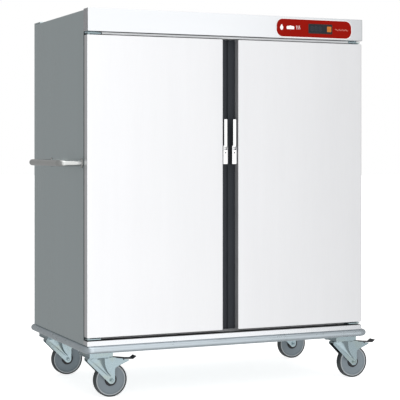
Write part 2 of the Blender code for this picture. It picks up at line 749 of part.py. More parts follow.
def add_spacers(rack, near, end):
    """Four blocks that hold a rack panel off what stands behind it, between two X places."""
    for level, z in (("low", RACK_BOTTOM + SPACER_EDGE), ("high", RACK_TOP - SPACER_EDGE)):
        for end_name, y in (("front", RACK_FRONT + SPACER_EDGE), ("rear", RACK_BACK - SPACER_EDGE)):
            low = (min(near, end), y - SPACER_HALF, z - SPACER_HALF)
            high = (max(near, end), y + SPACER_HALF, z + SPACER_HALF)
            weld(rack, box(f"{rack.name}_{level}_{end_name}_spacer", low, high))


def make_racks(root):
    """One rack panel on each outer wall, and a double one between the two bays."""
    bite = RACK_SHEET / 2
    for bay, side in (("left", -1), ("right", 1)):
        x = side * BAY_OUTER
        rack = rack_panel(f"{bay}_rack", x, -side)
        add_spacers(rack, x + side * bite, side * (LINER_HALF - TOUCH))
        hang(finish(rack, "stainless_liner"), root)
    centre = realise(rack_panel("centre_rack", -BAY_INNER, -1))
    weld(centre, realise(rack_panel("centre_rack_right_half", BAY_INNER, 1)))
    add_spacers(centre, -BAY_INNER + bite, BAY_INNER - bite)
    hang(finish(centre, "stainless_liner"), root)


def make_baffle(root):
    half = LINER_HALF - BAFFLE_MARGIN
    low = (-half, BAFFLE_FRONT, LINER_FLOOR + BAFFLE_MARGIN)
    high = (half, LINER_BACK - TOUCH, LINER_ROOF - BAFFLE_MARGIN)
    baffle = box("air_baffle", low, high)
    hollow_low = (low[0] + SKIN, low[1] + SKIN, low[2] + SKIN)
    cut(baffle, box("baffle_hollow", hollow_low, (high[0] - SKIN, high[1] + SKIN, high[2] - SKIN)))
    slots = []
    front, back = BAFFLE_FRONT - SKIN, BAFFLE_FRONT + 2 * SKIN
    for side in (-1, 1):
        for index in range(GRILLE_SLOTS):
            offset = GRILLE_PITCH * (index - (GRILLE_SLOTS - 1) / 2)
            half_slot = sqrt((FAN_RADIUS + GRILLE_MARGIN) ** 2 - offset**2)
            z = FAN_Z + offset
            slot_low = (side * FAN_X - half_slot, front, z - GRILLE_SLOT / 2)
            slots.append((slot_low, (side * FAN_X + half_slot, back, z + GRILLE_SLOT / 2)))
        for index in range(OUTLET_SLOTS):
            z = (LINER_FLOOR + LINER_ROOF) / 2 + OUTLET_PITCH * (index - (OUTLET_SLOTS - 1) / 2)
            x = side * OUTLET_X
            slot_low = (x - OUTLET_SIZE[0] / 2, front, z - OUTLET_SIZE[1] / 2)
            slots.append((slot_low, (x + OUTLET_SIZE[0] / 2, back, z + OUTLET_SIZE[1] / 2)))
    cut(baffle, boxes("baffle_slots", slots))
    hang(finish(baffle, "stainless_liner"), root)


def make_air_system(root):
    """Motors on the liner's back wall, one shaft each towards the front, with the rotor on it."""
    motor_back = LINER_BACK - TOUCH
    motor_front = motor_back - MOTOR_LENGTH
    fan_front = BAFFLE_FRONT + SKIN + FAN_CLEARANCE
    fan_back = fan_front + FAN_DEPTH
    for name, side in (("left", -1), ("right", 1)):
        x = side * FAN_X
        middle = (x, (motor_back + motor_front) / 2, FAN_Z)
        motor = cylinder(f"{name}_motor", middle, MOTOR_RADIUS, MOTOR_LENGTH, "Y", 20)
        shaft_middle = (x, (motor_front + fan_front) / 2, FAN_Z)
        shaft_length = motor_front - fan_front + 2 * SHAFT_BITE
        weld(motor, cylinder(f"{name}_shaft", shaft_middle, SHAFT_RADIUS, shaft_length, "Y", 12))
        motor.name = f"{name}_fan_motor"
        hang(finish(realise(motor), "black_steel"), root)

        holder = empty(f"{name}_fan_axis", (x, fan_front, FAN_Z), root)
        hub_middle = (x, (fan_front + fan_back) / 2, FAN_Z)
        fan = cylinder(f"{name}_fan", hub_middle, FAN_HUB, FAN_DEPTH, "Y", 16)
        disc_y = fan_back - FAN_RIM - SKIN
        disc_middle = (x, disc_y, FAN_Z)
        weld(fan, cylinder(f"{name}_fan_disc", disc_middle, FAN_DISC_RADIUS, 2 * SKIN, "Y", 24))
        for index in range(FAN_BLADES):
            turn = 2 * pi * index / FAN_BLADES
            weld(fan, fan_blade(f"{name}_blade_{index}", (x, FAN_Z), turn, fan_front + FAN_RIM, disc_y))
        bore_length = 3 * FAN_DEPTH
        cut(fan, cylinder(f"{name}_fan_bore", hub_middle, SHAFT_RADIUS + RUNNING, bore_length, "Y", 12))
        hang(finish(realise(fan), "motor_aluminium"), holder)

    y = (motor_front + motor_back) / 2
    half = HEATER_WIDTH / 2
    levels = [HEATER_Z + HEATER_PASS * step for step in range(4)]
    corners = [(half, y, levels[0])]
    for index, z in enumerate(levels):
        turn = -1 if index % 2 == 0 else 1
        corners.append((turn * half, y, z))
        if index < 3:
            corners.append((turn * half, y, levels[index + 1]))
    heater = tube("heating_element", rounded_path(corners, HEATER_BEND, 4), HEATER_RADIUS, 1)
    hang(finish(heater, "heater_steel"), root)


def fan_blade(name, centre, turn, front, back):
    """A curved blade: its middle line leans back by an angle that grows with the radius."""
    radii = np.linspace(FAN_HUB - BLADE_ROOT, FAN_RADIUS, 3)
    lean = radians(BLADE_LEAN) * (radii - FAN_HUB) / (FAN_RADIUS - FAN_HUB)
    left, right = [], []
    for radius, angle in zip(radii, lean):
        spread = BLADE_HALF / radius
        left.append((radius, turn + angle + spread))
        right.append((radius, turn + angle - spread))
    ring = left + right[::-1]
    outline = [(centre[0] + r * cos(a), centre[1] + r * sin(a)) for r, a in ring]
    return prism(name, outline, front, back, "Y")


def make_water_pan(root):
    """A pan whose rim rests on the lowest pair of ledges of the right bay."""
    rest = ledge_heights()[0] + TOUCH
    back = RACK_BACK - RACK_END_GAP
    front = back - PAN_DEPTH
    rim_low = (BAY_INNER + PAN_PLAY, front, rest)
    rim_high = (BAY_OUTER - PAN_PLAY, back, rest + 2 * PAN_SHEET)
    pan = box("water_pan", rim_low, rim_high)
    inner = BAY_INNER + LEDGE_REACH + PAN_PLAY
    outer = BAY_OUTER - LEDGE_REACH - PAN_PLAY
    edge = LEDGE_THICKNESS * 4
    bowl_low = (inner, front + edge, rest - PAN_HEIGHT)
    weld(pan, box("pan_bowl", bowl_low, (outer, back - edge, rest + PAN_SHEET)))
    hollow_low = (inner + PAN_SHEET, front + edge + PAN_SHEET, rest - PAN_HEIGHT + PAN_SHEET)
    cut(pan, box("pan_hollow", hollow_low, (outer - PAN_SHEET, back - edge - PAN_SHEET, rest + PAN_HEIGHT)))
    holder = empty("pan_guide", ((inner + outer) / 2, front, rest), root)
    hang(finish(pan, "stainless_liner"), holder)


def make_hinges(root):
    """An upper and a lower pivot plate for each door."""
    for name, side in (("left", -1), ("right", 1)):
        for level, face, gap, away in (("upper", DOOR_TOP, FASCIA_GAP, 1), ("lower", DOOR_BOTTOM, SILL_GAP, -1)):
            plate = hinge_plate(f"{name}_{level}_hinge", side, face, gap, away)
            hang(finish(plate, "zinc_plate"), root)


def hinge_plate(name, side, face, gap, away):
    """A plate in the gap next to a door's end face, with a leg on the frame and a pin into the door."""
    low_x, high_x = span(side, HALF_WIDTH - HINGE_PLATE_INSET - HINGE_PLATE_LENGTH, HALF_WIDTH - HINGE_PLATE_INSET)
    near = face + away * (gap - HINGE_PLATE_THICKNESS) / 2
    far = near + away * HINGE_PLATE_THICKNESS
    back = FRONT_SETBACK - TOUCH
    front = HINGE_DEPTH - HINGE_PLATE_LEAD
    plate = box(f"{name}_plate", (low_x, front, min(near, far)), (high_x, back, max(near, far)))
    leg_near, leg_far = sorted((face + away * BITE, face + away * (gap - BITE)))
    weld(plate, box(f"{name}_leg", (low_x, back - HINGE_LEG, leg_near), (high_x, back, leg_far)))
    x = side * HINGE_X
    pin_end = face - away * HINGE_PIN_LENGTH
    pin_middle = (x, HINGE_DEPTH, (pin_end + near) / 2 + away * BITE)
    pin_length = abs(near - pin_end) + 2 * BITE
    weld(plate, cylinder(f"{name}_pin", pin_middle, HINGE_PIN_RADIUS, pin_length, "Z", 16))
    collar_start = face + away * TOUCH
    collar_middle = (x, HINGE_DEPTH, (collar_start + near + away * BITE) / 2)
    collar_length = abs(near + away * BITE - collar_start)
    weld(plate, cylinder(f"{name}_collar", collar_middle, HINGE_COLLAR_RADIUS, collar_length, "Z", 16))
    return plate


def pin_holes(name, side):
    """Cutters for the two hinge pins in a door, slightly larger and deeper than the pins."""
    depth = HINGE_PIN_LENGTH + HINGE_PIN_END
    radius = HINGE_PIN_RADIUS + HINGE_PIN_PLAY
    for level, face, inwards in (("top", DOOR_TOP, -1), ("bottom", DOOR_BOTTOM, 1)):
        middle = (side * HINGE_X, HINGE_DEPTH, face + inwards * (depth / 2 - BITE))
        yield cylinder(f"{name}_{level}_pin_hole", middle, radius, depth + 2 * BITE, "Z", 16)


def make_door(name, side, root):
    pivot = empty(f"{name}_door_axis", (side * HINGE_X, HINGE_DEPTH, DOOR_BOTTOM), root)
    low_x, high_x = span(side, RECESS_HALF, HALF_WIDTH)
    skin = box(f"{name}_door_skin", (low_x, 0, DOOR_BOTTOM), (high_x, DOOR_SHELL, DOOR_TOP))
    hollow_low = (low_x + SKIN, SKIN, DOOR_BOTTOM + SKIN)
    hollow_high = (high_x - SKIN, DOOR_SHELL + SKIN, DOOR_TOP - SKIN)
    cut(skin, box(f"{name}_skin_hollow", hollow_low, hollow_high))
    for hole in pin_holes(f"{name}_skin", side):
        cut(skin, hole)
    hang(finish(skin, "stainless_door"), pivot)

    inset = SKIN + TOUCH
    core_low = (low_x + inset, inset, DOOR_BOTTOM + inset)
    core = box(f"{name}_door_inner_panel", core_low, (high_x - inset, DOOR_PACK, DOOR_TOP - inset))
    for hole in pin_holes(f"{name}_core", side):
        cut(core, hole)
    hang(finish(core, "door_core"), pivot)

    edge, lip, outer = MEETING_GAP / 2, MEETING_GAP / 2 + MEETING_LIP, RECESS_HALF - TOUCH
    lip_front = RECESS_DEPTH - MEETING_LIP
    section = [(edge, DOOR_PACK), (edge, lip_front), (lip, lip_front), (lip, RECESS_DEPTH)]
    section += [(outer, RECESS_DEPTH), (outer, DOOR_PACK)]
    section = [(side * x, y) for x, y in section]
    strip = prism(f"{name}_meeting_profile", section, DOOR_BOTTOM, DOOR_TOP, "Z")
    hang(finish(strip, "dark_profile"), pivot)

    outer_x = span(side, GASKET_MEETING, HALF_WIDTH - GASKET_INSET)
    front, back = DOOR_PACK + TOUCH, FRONT_SETBACK - TOUCH
    bottom, top = DOOR_BOTTOM + GASKET_TOP_INSET, DOOR_TOP - GASKET_TOP_INSET
    gasket = box(f"{name}_door_gasket", (outer_x[0], front, bottom), (outer_x[1], back, top))
    width = GASKET_WIDTH
    clear_low = (outer_x[0] + width, front - SKIN, bottom + width)
    cut(gasket, box(f"{name}_gasket_clear", clear_low, (outer_x[1] - width, back + SKIN, top - width)))
    hang(finish(gasket, "gasket_rubber"), pivot)
    make_door_handle(name, side, pivot)


def make_door_handle(name, side, pivot):
    """A base block in the recess whose two cheeks carry the lever's pin, and the lever."""
    low_x, high_x = span(side, HANDLE_INNER, HANDLE_INNER + HANDLE_WIDTH)
    back = RECESS_DEPTH - TOUCH
    base = box(f"{name}_handle_base", (low_x, HANDLE_FRONT, HANDLE_BOTTOM), (high_x, back, CHEEK_TOP))
    channel_x = (low_x + CHEEK_SHEET, high_x - CHEEK_SHEET)
    channel_back = LEVER_PIVOT_Y + LEVER_BOSS + 3 * LEVER_CLEARANCE
    channel_low = (channel_x[0], HANDLE_FRONT - 0.01, HANDLE_FLOOR)
    cut(base, box(f"{name}_handle_channel", channel_low, (channel_x[1], channel_back, CHEEK_TOP + 0.01)))
    middle_x = (low_x + high_x) / 2
    pin_middle = (middle_x, LEVER_PIVOT_Y, LEVER_PIVOT_Z)
    pin_length = HANDLE_WIDTH - CHEEK_SHEET
    weld(base, cylinder(f"{name}_lever_pin", pin_middle, LEVER_PIN_RADIUS, pin_length, "X", 12))
    hang(finish(base, "polished_chrome"), pivot)

    lever_axis = empty(f"{name}_lever_axis", pin_middle, pivot)
    lever_x = (channel_x[0] + LEVER_CLEARANCE, channel_x[1] - LEVER_CLEARANCE)
    lever = prism(f"{name}_handle_lever", lever_outline(), *lever_x, "X")
    hole_radius = LEVER_PIN_RADIUS + LEVER_PIN_PLAY
    cut(lever, cylinder(f"{name}_lever_hole", pin_middle, hole_radius, 0.1, "X", 12))
    hang(finish(lever, "polished_chrome"), lever_axis)


def lever_outline():
    """Side view of the lever in Y and Z: a bar in front, a neck behind it and a round foot at the pin."""
    pivot = (LEVER_PIVOT_Y, LEVER_PIVOT_Z)
    bar_back = LEVER_FRONT + LEVER_THICKNESS
    neck_back = LEVER_PIVOT_Y + LEVER_BOSS
    return (
        [(bar_back - LEVER_EDGE, LEVER_TOP), (LEVER_FRONT + LEVER_EDGE, LEVER_TOP)]
        + [(LEVER_FRONT, LEVER_TOP - LEVER_EDGE), (LEVER_FRONT, CHEEK_TOP + LEVER_SHOULDER)]
        + arc(pivot, LEVER_BOSS, 180, 360, 7)
        + [(neck_back, NECK_TOP - NECK_CORNER), (neck_back - NECK_STEP, NECK_TOP)]
        + [(bar_back, NECK_TOP + NECK_RISE), (bar_back, LEVER_TOP - LEVER_EDGE)]
    )


def cheek_outline(reach):
    """Side view of a fork cheek in X and Z from the swivel axis: down to the axle and up to the arm."""
    top = DECK_TOP
    axle = (TRAIL, WHEEL_RADIUS)
    drop = ARM_DROP if reach == ARM_REACH else PLAIN_ARM_DROP
    return (
        [(reach, top), (-DECK_REAR, top), (-DECK_REAR, DECK_BOTTOM)]
        + arc(axle, AXLE_BOSS, 205, 345, 7)
        + [(TRAIL + WAIST_OFFSET, WAIST_HEIGHT), (reach, DECK_BOTTOM - drop)]
    )


def make_fork(name, braked):
    reach = ARM_REACH if braked else DECK_FRONT
    outline = cheek_outline(reach)
    fork = prism(name, outline, FORK_HALF - FORK_SHEET, FORK_HALF, "Y")
    weld(fork, prism(f"{name}_far_cheek", outline, -FORK_HALF, FORK_SHEET - FORK_HALF, "Y"))
    deck_low = (-DECK_REAR, -FORK_HALF, DECK_BOTTOM)
    weld(fork, box(f"{name}_deck", deck_low, (DECK_FRONT, FORK_HALF, DECK_TOP)))
    race_top = CASTOR_HEIGHT - PLATE_THICKNESS - TOUCH
    race_middle = (0, 0, (DECK_BOTTOM + race_top) / 2)
    weld(fork, cylinder(f"{name}_race", race_middle, SWIVEL_RADIUS, race_top - DECK_BOTTOM, "Z", 20))
    cut(fork, cylinder(f"{name}_king_hole", race_middle, KINGPIN_RADIUS + RUNNING, 0.1, "Z", 16))
    axle_middle = (TRAIL, 0, WHEEL_RADIUS)
    cut(fork, cylinder(f"{name}_axle_hole", axle_middle, AXLE_RADIUS + TOUCH, 0.1, "Y", 14))
    if braked:
        pin_middle = (PEDAL_PIVOT[0], 0, PEDAL_PIVOT[1])
        cut(fork, cylinder(f"{name}_pedal_hole", pin_middle, PEDAL_PIN_RADIUS + RUNNING, 0.1, "Y", 12))
    return fork


def make_wheel():
    """Half of the wheel's cross-section, mirrored: hub, thin web, rim and a rounded tread."""
    upper = [
        (AXLE_HOLE, HUB_HALF_WIDTH),
        (HUB_RADIUS, HUB_HALF_WIDTH),
        (WEB_RADIUS, WEB_HALF_WIDTH),
        (RIM_INNER, WHEEL_HALF_WIDTH - RIM_STEP),
        (TREAD_EDGE, WHEEL_HALF_WIDTH),
        (WHEEL_RADIUS, WHEEL_HALF_WIDTH - TREAD_DROP),
    ]
    profile = upper + [(r, -h) for r, h in reversed(upper)]
    return turned("castor_wheel", profile, (0, 0, 0), "Y", 28)


def make_axle():
    """A bolt through the fork with a nut at each end, outside the cheeks."""
    nut_in = FORK_HALF + TOUCH
    nut_out = nut_in + NUT_LENGTH
    end = nut_out + AXLE_END
    profile = [(AXLE_RADIUS, nut_in), (NUT_RADIUS, nut_in), (NUT_RADIUS, nut_out), (AXLE_RADIUS, end)]
    lower = [(r, -h) for r, h in reversed(profile)]
    full = profile + [(0, end), (0, -end)] + lower

    def fill(shape):
        sides = 10
        rings = []
        for step in range(sides):
            angle = 2 * pi * step / sides
            rings.append([(r * cos(angle), h, r * sin(angle)) for r, h in full])
        for step in range(sides):
            near, far = rings[step], rings[(step + 1) % sides]
            for k in range(len(full)):
                nxt = (k + 1) % len(full)
                corners = [near[k], near[nxt], far[nxt], far[k]]
                flat = [c for i, c in enumerate(corners) if c not in corners[:i]]
                if len(flat) > 2:
                    shape.faces.new([shape.verts.new(c) for c in flat])
        bmesh.ops.remove_doubles(shape, verts=shape.verts, dist=1e-6)

    return mesh_from("castor_axle", fill)


def make_plate():
    """The fixed part of a castor: plate, four bolt heads, the king pin and its nut."""
    top, bottom = CASTOR_HEIGHT, CASTOR_HEIGHT - PLATE_THICKNESS
    half_x, half_y = PLATE_SIZE[0] / 2, PLATE_SIZE[1] / 2
    outline = rounded_rectangle((-half_x, -half_y), (half_x, half_y), PLATE_CORNER, 3)
    plate = prism("castor_plate", outline, bottom, top, "Z")
    for x in (-PLATE_BOLTS[0] / 2, PLATE_BOLTS[0] / 2):
        for y in (-PLATE_BOLTS[1] / 2, PLATE_BOLTS[1] / 2):
            middle = (x, y, bottom - (BOLT_HEAD_HEIGHT - BITE) / 2)
            weld(plate, cylinder(f"bolt_{x}_{y}", middle, BOLT_HEAD_RADIUS, BOLT_HEAD_HEIGHT + BITE, "Z", 6))
    nut_top = DECK_BOTTOM - TOUCH
    pin_bottom = nut_top - KING_PIN_END
    pin_middle = (0, 0, (bottom + BITE + pin_bottom) / 2)
    weld(plate, cylinder("king_pin", pin_middle, KINGPIN_RADIUS, bottom + BITE - pin_bottom, "Z", 16))
    nut_middle = (0, 0, nut_top - KING_NUT_LENGTH / 2)
    weld(plate, cylinder("king_nut", nut_middle, KING_NUT_RADIUS, KING_NUT_LENGTH, "Z", 6))
    return plate


def make_pedal():
    """A bent plate between the fork's arms that widens beyond them, on its own pin."""
    thick = PEDAL_THICKNESS
    x0, z0 = PEDAL_PIVOT
    tip = PEDAL_REACH
    joint, wide_start = ARM_REACH + PEDAL_THICKNESS + BITE, ARM_REACH + FORK_PLAY
    low, rise = z0 - 0.75 * thick, z0 + 0.75 * thick
    narrow = [
        (x0 - PEDAL_TAIL, z0 + thick),
        (x0 - PEDAL_TAIL, low),
        (x0, z0 - thick - BITE),
        (joint, low),
        (joint, low + thick),
        (x0, z0 + thick + BITE),
    ]
    inner = FORK_HALF - FORK_SHEET - BITE
    pedal = prism("brake_pedal", narrow, -inner, inner, "Y")
    wide = [
        (wide_start, low),
        (tip - 3 * thick, rise),
        (tip - thick / 2, DECK_TOP - thick),
        (tip, DECK_TOP - BITE),
        (tip - 0.75 * thick, DECK_TOP),
        (tip - 3.5 * thick, rise + thick),
        (wide_start, low + thick),
    ]
    weld(pedal, prism("pedal_tread", wide, -PEDAL_HALF_WIDTH, PEDAL_HALF_WIDTH, "Y"))
    pin_length = 2 * (FORK_HALF + 2 * BITE)
    weld(pedal, cylinder("pedal_pin", (x0, 0, z0), PEDAL_PIN_RADIUS, pin_length, "Y", 12))
    return pedal


def make_castors(root):
    swivels = {}
    for name, (x, y), _ in castor_places():
        swivels[name] = empty(f"{name}_swivel_axis", (x, y, 0), root)
    everywhere = list(castor_places())
    plates = {f"{name}_castor_plate": ((x, y, 0), root) for name, (x, y), _ in everywhere}
    copies(make_plate(), "zinc_plate", plates)
    for braked in (True, False):
        forks = {f"{n}_fork": ((x, y, 0), swivels[n]) for n, (x, y), brake in everywhere if brake == braked}
        copies(make_fork("fork", braked), "zinc_plate", forks)
    middle = {n: (x + TRAIL, y, WHEEL_RADIUS) for n, (x, y), _ in everywhere}
    copies(make_axle(), "zinc_plate", {f"{n}_axle": (middle[n], swivels[n]) for n in middle})
    copies(make_wheel(), "wheel_grey", {f"{n}_wheel": (middle[n], swivels[n]) for n in middle})
    pedal = make_pedal()
    x0, z0 = PEDAL_PIVOT
    pedal = realise(pedal)
    pedal.data.transform(Matrix.Translation((-x0, 0, -z0)))
    pedals = {f"{n}_brake_pedal": ((x + x0, y, z0), swivels[n]) for n, (x, y), brake in everywhere if brake}
    copies(pedal, "black_steel", pedals)


def make_inlet(root):
    face = BODY_DEPTH + TOUCH
    half_x, half_z = INLET_PLATE[0] / 2, INLET_PLATE[1] / 2
    outline = rounded_rectangle((INLET_X - half_x, INLET_Z - half_z), (INLET_X + half_x, INLET_Z + half_z), INLET_CORNER, 4)
    inlet = prism("power_inlet", outline, face, face + INLET_PLATE_THICKNESS, "Y")
    ring_middle = (INLET_X, face + (INLET_PLATE_THICKNESS + INLET_LENGTH) / 2, INLET_Z)
    weld(inlet, cylinder("inlet_ring", ring_middle, INLET_RING, INLET_LENGTH, "Y", 28))
    bore_middle = (INLET_X, face + INLET_PLATE_THICKNESS / 2 + INLET_LENGTH, INLET_Z)
    cut(inlet, cylinder("inlet_bore", bore_middle, INLET_BORE, 2 * (INLET_LENGTH - BITE), "Y", 28))
    hang(finish(inlet, "inlet_black"), root)


def main():
    clear_scene()
    root = link("cabinet_frame", None)
    root.location = (-CENTRE_X, -CENTRE_Y, 0)
    root["place"] = (0.0, 0.0, 0.0)
    make_chassis(root)
    make_bumper(root)
    make_skins(root)
    make_front(root)
    make_controls(root)
    make_push_handle(root)
    make_insulation_and_liner(root)
    make_racks(root)
    make_baffle(root)
    make_air_system(root)
    make_water_pan(root)
    make_hinges(root)
    for name, side in (("left", -1), ("right", 1)):
        make_door(name, side, root)
    make_castors(root)
    make_inlet(root)


main()
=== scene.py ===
"""The finished surfaces of a two-door proofing cabinet on castors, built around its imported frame."""

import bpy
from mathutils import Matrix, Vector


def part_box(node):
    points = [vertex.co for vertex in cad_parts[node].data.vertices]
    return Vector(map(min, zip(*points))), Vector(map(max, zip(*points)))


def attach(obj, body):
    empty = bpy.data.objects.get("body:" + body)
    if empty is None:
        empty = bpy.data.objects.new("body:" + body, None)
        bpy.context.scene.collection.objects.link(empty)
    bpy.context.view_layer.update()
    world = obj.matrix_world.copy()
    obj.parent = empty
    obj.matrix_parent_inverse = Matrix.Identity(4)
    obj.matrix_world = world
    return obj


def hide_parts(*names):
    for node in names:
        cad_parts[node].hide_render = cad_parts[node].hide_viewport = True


bl_info = {
    "name": "Proofing Cabinet",
    "version": (1, 0, 0),
    "blender": (4, 5, 0),
    "location": "3D View > Sidebar > Cabinet",
    "description": "Builds the doors, sheets, handles, castors, controls and stage of a proofing cabinet",
    "category": "Object",
}

from math import cos, pi, radians, sin

import bpy
import numpy as np
from bpy.props import FloatProperty, FloatVectorProperty, IntProperty, PointerProperty
from mathutils import Euler

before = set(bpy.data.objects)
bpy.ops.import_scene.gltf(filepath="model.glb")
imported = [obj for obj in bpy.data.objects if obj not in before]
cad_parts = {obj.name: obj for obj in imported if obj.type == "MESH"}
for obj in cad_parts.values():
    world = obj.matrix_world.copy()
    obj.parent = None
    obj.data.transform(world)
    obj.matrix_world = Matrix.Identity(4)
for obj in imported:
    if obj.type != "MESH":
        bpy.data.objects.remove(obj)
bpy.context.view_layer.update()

SIDES = (("left", -1), ("right", 1))
ENDS = ("front", "rear")
ACROSS = {"X": (1, 2, 0), "Y": (0, 2, 1), "Z": (0, 1, 2)}
# The gap left between faces that would meet, the angle that still shades smoothly, the rim of the
# controller's face, and the height above which the door frame is pale and below which it is painted dark, as
# painted shade in the gaps round the doors.
HAIR = 0.0003
SMOOTH_ANGLE = radians(32)
PANE_RIM = 0.006
FRAME_SHADE_TOP = 1.655


def corners(node):
    """A frame node's low and high corners as arrays."""
    low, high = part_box(node)
    return np.array(low), np.array(high)


def middle(node):
    low, high = corners(node)
    return (low + high) / 2


# ---------------------------------------------------------------- surfaces


class Shell:
    """One or more closed surfaces: points, blocks of faces of equal width, and an edge weight per point."""

    def __init__(self, points, blocks, edge=None):
        self.points = np.asarray(points, float).reshape(-1, 3)
        self.blocks = [np.asarray(block, int) for block in blocks]
        self.edge = np.zeros(len(self.points)) if edge is None else np.asarray(edge, float).ravel()

    def volume(self):
        """A sixth of the sum of the triple products of each face's fan of triangles."""
        total = 0.0
        for block in self.blocks:
            first = self.points[block[:, :1]]
            second, third = self.points[block[:, 1:-1]], self.points[block[:, 2:]]
            total += (first * np.cross(second, third)).sum() / 6
        return total

    def outward(self):
        if self.volume() < 0:
            self.blocks = [block[:, ::-1] for block in self.blocks]
        return self

    def moved(self, offset):
        return Shell(self.points + np.asarray(offset, float), self.blocks, self.edge)

    def mirrored(self, axis):
        """The shell with one coordinate's sign changed and its faces turned round to stay outwards."""
        points = self.points.copy()
        points[:, axis] *= -1
        return Shell(points, [block[:, ::-1] for block in self.blocks], self.edge)

    def __add__(self, other):
        shift = len(self.points)
        blocks = self.blocks + [block + shift for block in other.blocks]
        return Shell(np.vstack([self.points, other.points]), blocks, np.concatenate([self.edge, other.edge]))


def joined(shells):
    shells = list(shells)
    whole = shells[0]
    for other in shells[1:]:
        whole = whole + other
    return whole


def grid(rows, columns, wrap_rows=False, wrap_columns=True):
    """The quads between neighbours on a grid; a wrapped direction joins its end to its start."""
    down, along = np.meshgrid(
        np.arange(rows if wrap_rows else rows - 1),
        np.arange(columns if wrap_columns else columns - 1),
        indexing="ij",
    )
    below, beside = (down + 1) % rows, (along + 1) % columns
    near, far = down * columns, below * columns
    return np.stack([near + along, near + beside, far + beside, far + along], -1).reshape(-1, 4)


def skin_rings(points, edge=None, wrap=False):
    """Rings of points joined in order; unless they wrap, the two end rings are closed with flat faces."""
    rows, columns = points.shape[:2]
    blocks = [grid(rows, columns, wrap_rows=wrap)]
    if not wrap:
        ring = np.arange(columns)[None]
        blocks += [ring[:, ::-1], ring + (rows - 1) * columns]
    weights = None if edge is None else np.repeat(np.asarray(edge, float), columns)
    return Shell(points, blocks, weights).outward()


def rounded(low, high, radius, steps=6):
    """A rectangle with quarter-circle corners: each corner's centre plus the radius times (cos, sin)."""
    (x0, y0), (x1, y1) = low, high
    radius = max(min(radius, (x1 - x0) / 2 - 1e-6, (y1 - y0) / 2 - 1e-6), 1e-5)
    centres = np.array([(x1, y1), (x0, y1), (x0, y0), (x1, y0)]) + radius * np.array(
        [(-1, -1), (1, -1), (1, 1), (-1, 1)]
    )
    turns = np.linspace(0, pi / 2, steps + 1) + (pi / 2 * np.arange(4))[:, None]
    return (centres[:, None] + radius * np.stack([np.cos(turns), np.sin(turns)], -1)).reshape(-1, 2)


def rect(low, high, corner, steps=6):
    """A rounded rectangle as a function of its inset; its corners shrink but never turn inside out."""

    def inset_by(inset):
        (x0, y0), (x1, y1) = low, high
        radius = max(corner - inset, min(0.0004, corner))
        return rounded((x0 + inset, y0 + inset), (x1 - inset, y1 - inset), radius, steps)

    return inset_by


def arc(centre, radius, start, end, steps):
    """Points on a circle between two angles in degrees."""
    turns = np.radians(np.linspace(start, end, steps))
    return np.array(centre) + radius * np.stack([np.cos(turns), np.sin(turns)], -1)


def anticlockwise(outline):
    """The outline without repeated points, turned so that its inside is on the left."""
    outline = np.asarray(outline, float)
    outline = outline[np.linalg.norm(outline - np.roll(outline, 1, 0), axis=1) > 1e-7]
    ahead = np.roll(outline, -1, 0)
    area = (outline[:, 0] * ahead[:, 1] - outline[:, 1] * ahead[:, 0]).sum()
    return outline if area > 0 else outline[::-1]


def inwards(outline):
    """At each point, the move that shifts both its edges in by one unit: (m + n) / (1 + m . n)."""
    ahead = np.roll(outline, -1, 0) - outline
    ahead /= np.linalg.norm(ahead, axis=1)[:, None]
    after = np.stack([-ahead[:, 1], ahead[:, 0]], -1)
    before = np.roll(after, 1, 0)
    return (after + before) / np.maximum(1 + (after * before).sum(1), 0.2)[:, None]


def stack(outline, levels, axis):
    """The outline repeated at each level (inset, height, edge weight) along the axis, and joined in order."""
    inset, height, weight = np.array(levels, float).T
    if callable(outline):
        flat = np.stack([outline(value) for value in inset])
    else:
        outline = anticlockwise(outline)
        flat = outline + inset[:, None, None] * inwards(outline)
    points = np.empty((*flat.shape[:2], 3))
    first, second, along = ACROSS[axis]
    points[..., first], points[..., second] = flat[..., 0], flat[..., 1]
    points[..., along] = height[:, None]
    return skin_rings(points, weight)


def fold(face, inner, radius, steps=4):
    """Levels of a rounded edge between two heights: a flat ring, then a quarter circle of inset."""
    way = np.sign(inner - face)
    turn = np.linspace(0, pi / 2, steps + 1)
    inset, height = radius * (1 - np.sin(turn)), face + way * radius * (1 - np.cos(turn))
    return [(radius * 1.5, face, 0.0), *zip(inset, height, np.sin(2 * turn))]


def plate(outline, low, high, axis, edge, steps=3):
    """A solid plate of the outline, from one height to another, with both its edges rounded."""
    return stack(outline, fold(low, high, edge, steps) + fold(high, low, edge, steps)[::-1], axis)


def tray(outline, face, rim, axis, wall, edge, steps=4):
    """Sheet folded into a tray: up its inside to the rim, over it, and down round the outer edge."""
    way = np.sign(rim - face)
    inside = [(wall, face + way * wall, 0), (wall, rim - way * HAIR, 0), (wall - HAIR, rim, 0)]
    over = [(HAIR, rim, 0), (0, rim - way * HAIR, 0)]
    return stack(outline, inside + over + fold(face, rim, edge, steps)[::-1], axis)


def upright_ring(low, high, y):
    """The corners of a box's front rectangle in order, all at one depth."""
    (x0, _, z0), (x1, _, z1) = low, high
    return [(x0, y, z0), (x1, y, z0), (x1, y, z1), (x0, y, z1)]


def block(low, high, edge, corner=None, axis="Z", steps=3):
    """A box with all its edges rounded."""
    first, second, along = ACROSS[axis]
    corner = edge * 1.6 if corner is None else corner
    outline = rect((low[first], low[second]), (high[first], high[second]), corner, steps + 1)
    return plate(outline, low[along], high[along], axis, edge, steps)


def lathe(profile, centre, axis="Z", sides=48, ring=False, turn=0.0):
    """A (radius, height) profile carried round an axis; a ring's profile is closed, others have flat ends."""
    radius, height = np.array(profile, float).T
    angles = turn + 2 * pi * np.arange(sides) / sides
    points = np.empty((len(radius), sides, 3))
    first, second, along = ACROSS[axis]
    points[..., first] = radius[:, None] * np.cos(angles)
    points[..., second] = radius[:, None] * np.sin(angles)
    points[..., along] = height[:, None]
    return skin_rings(points + np.array(centre), wrap=ring)


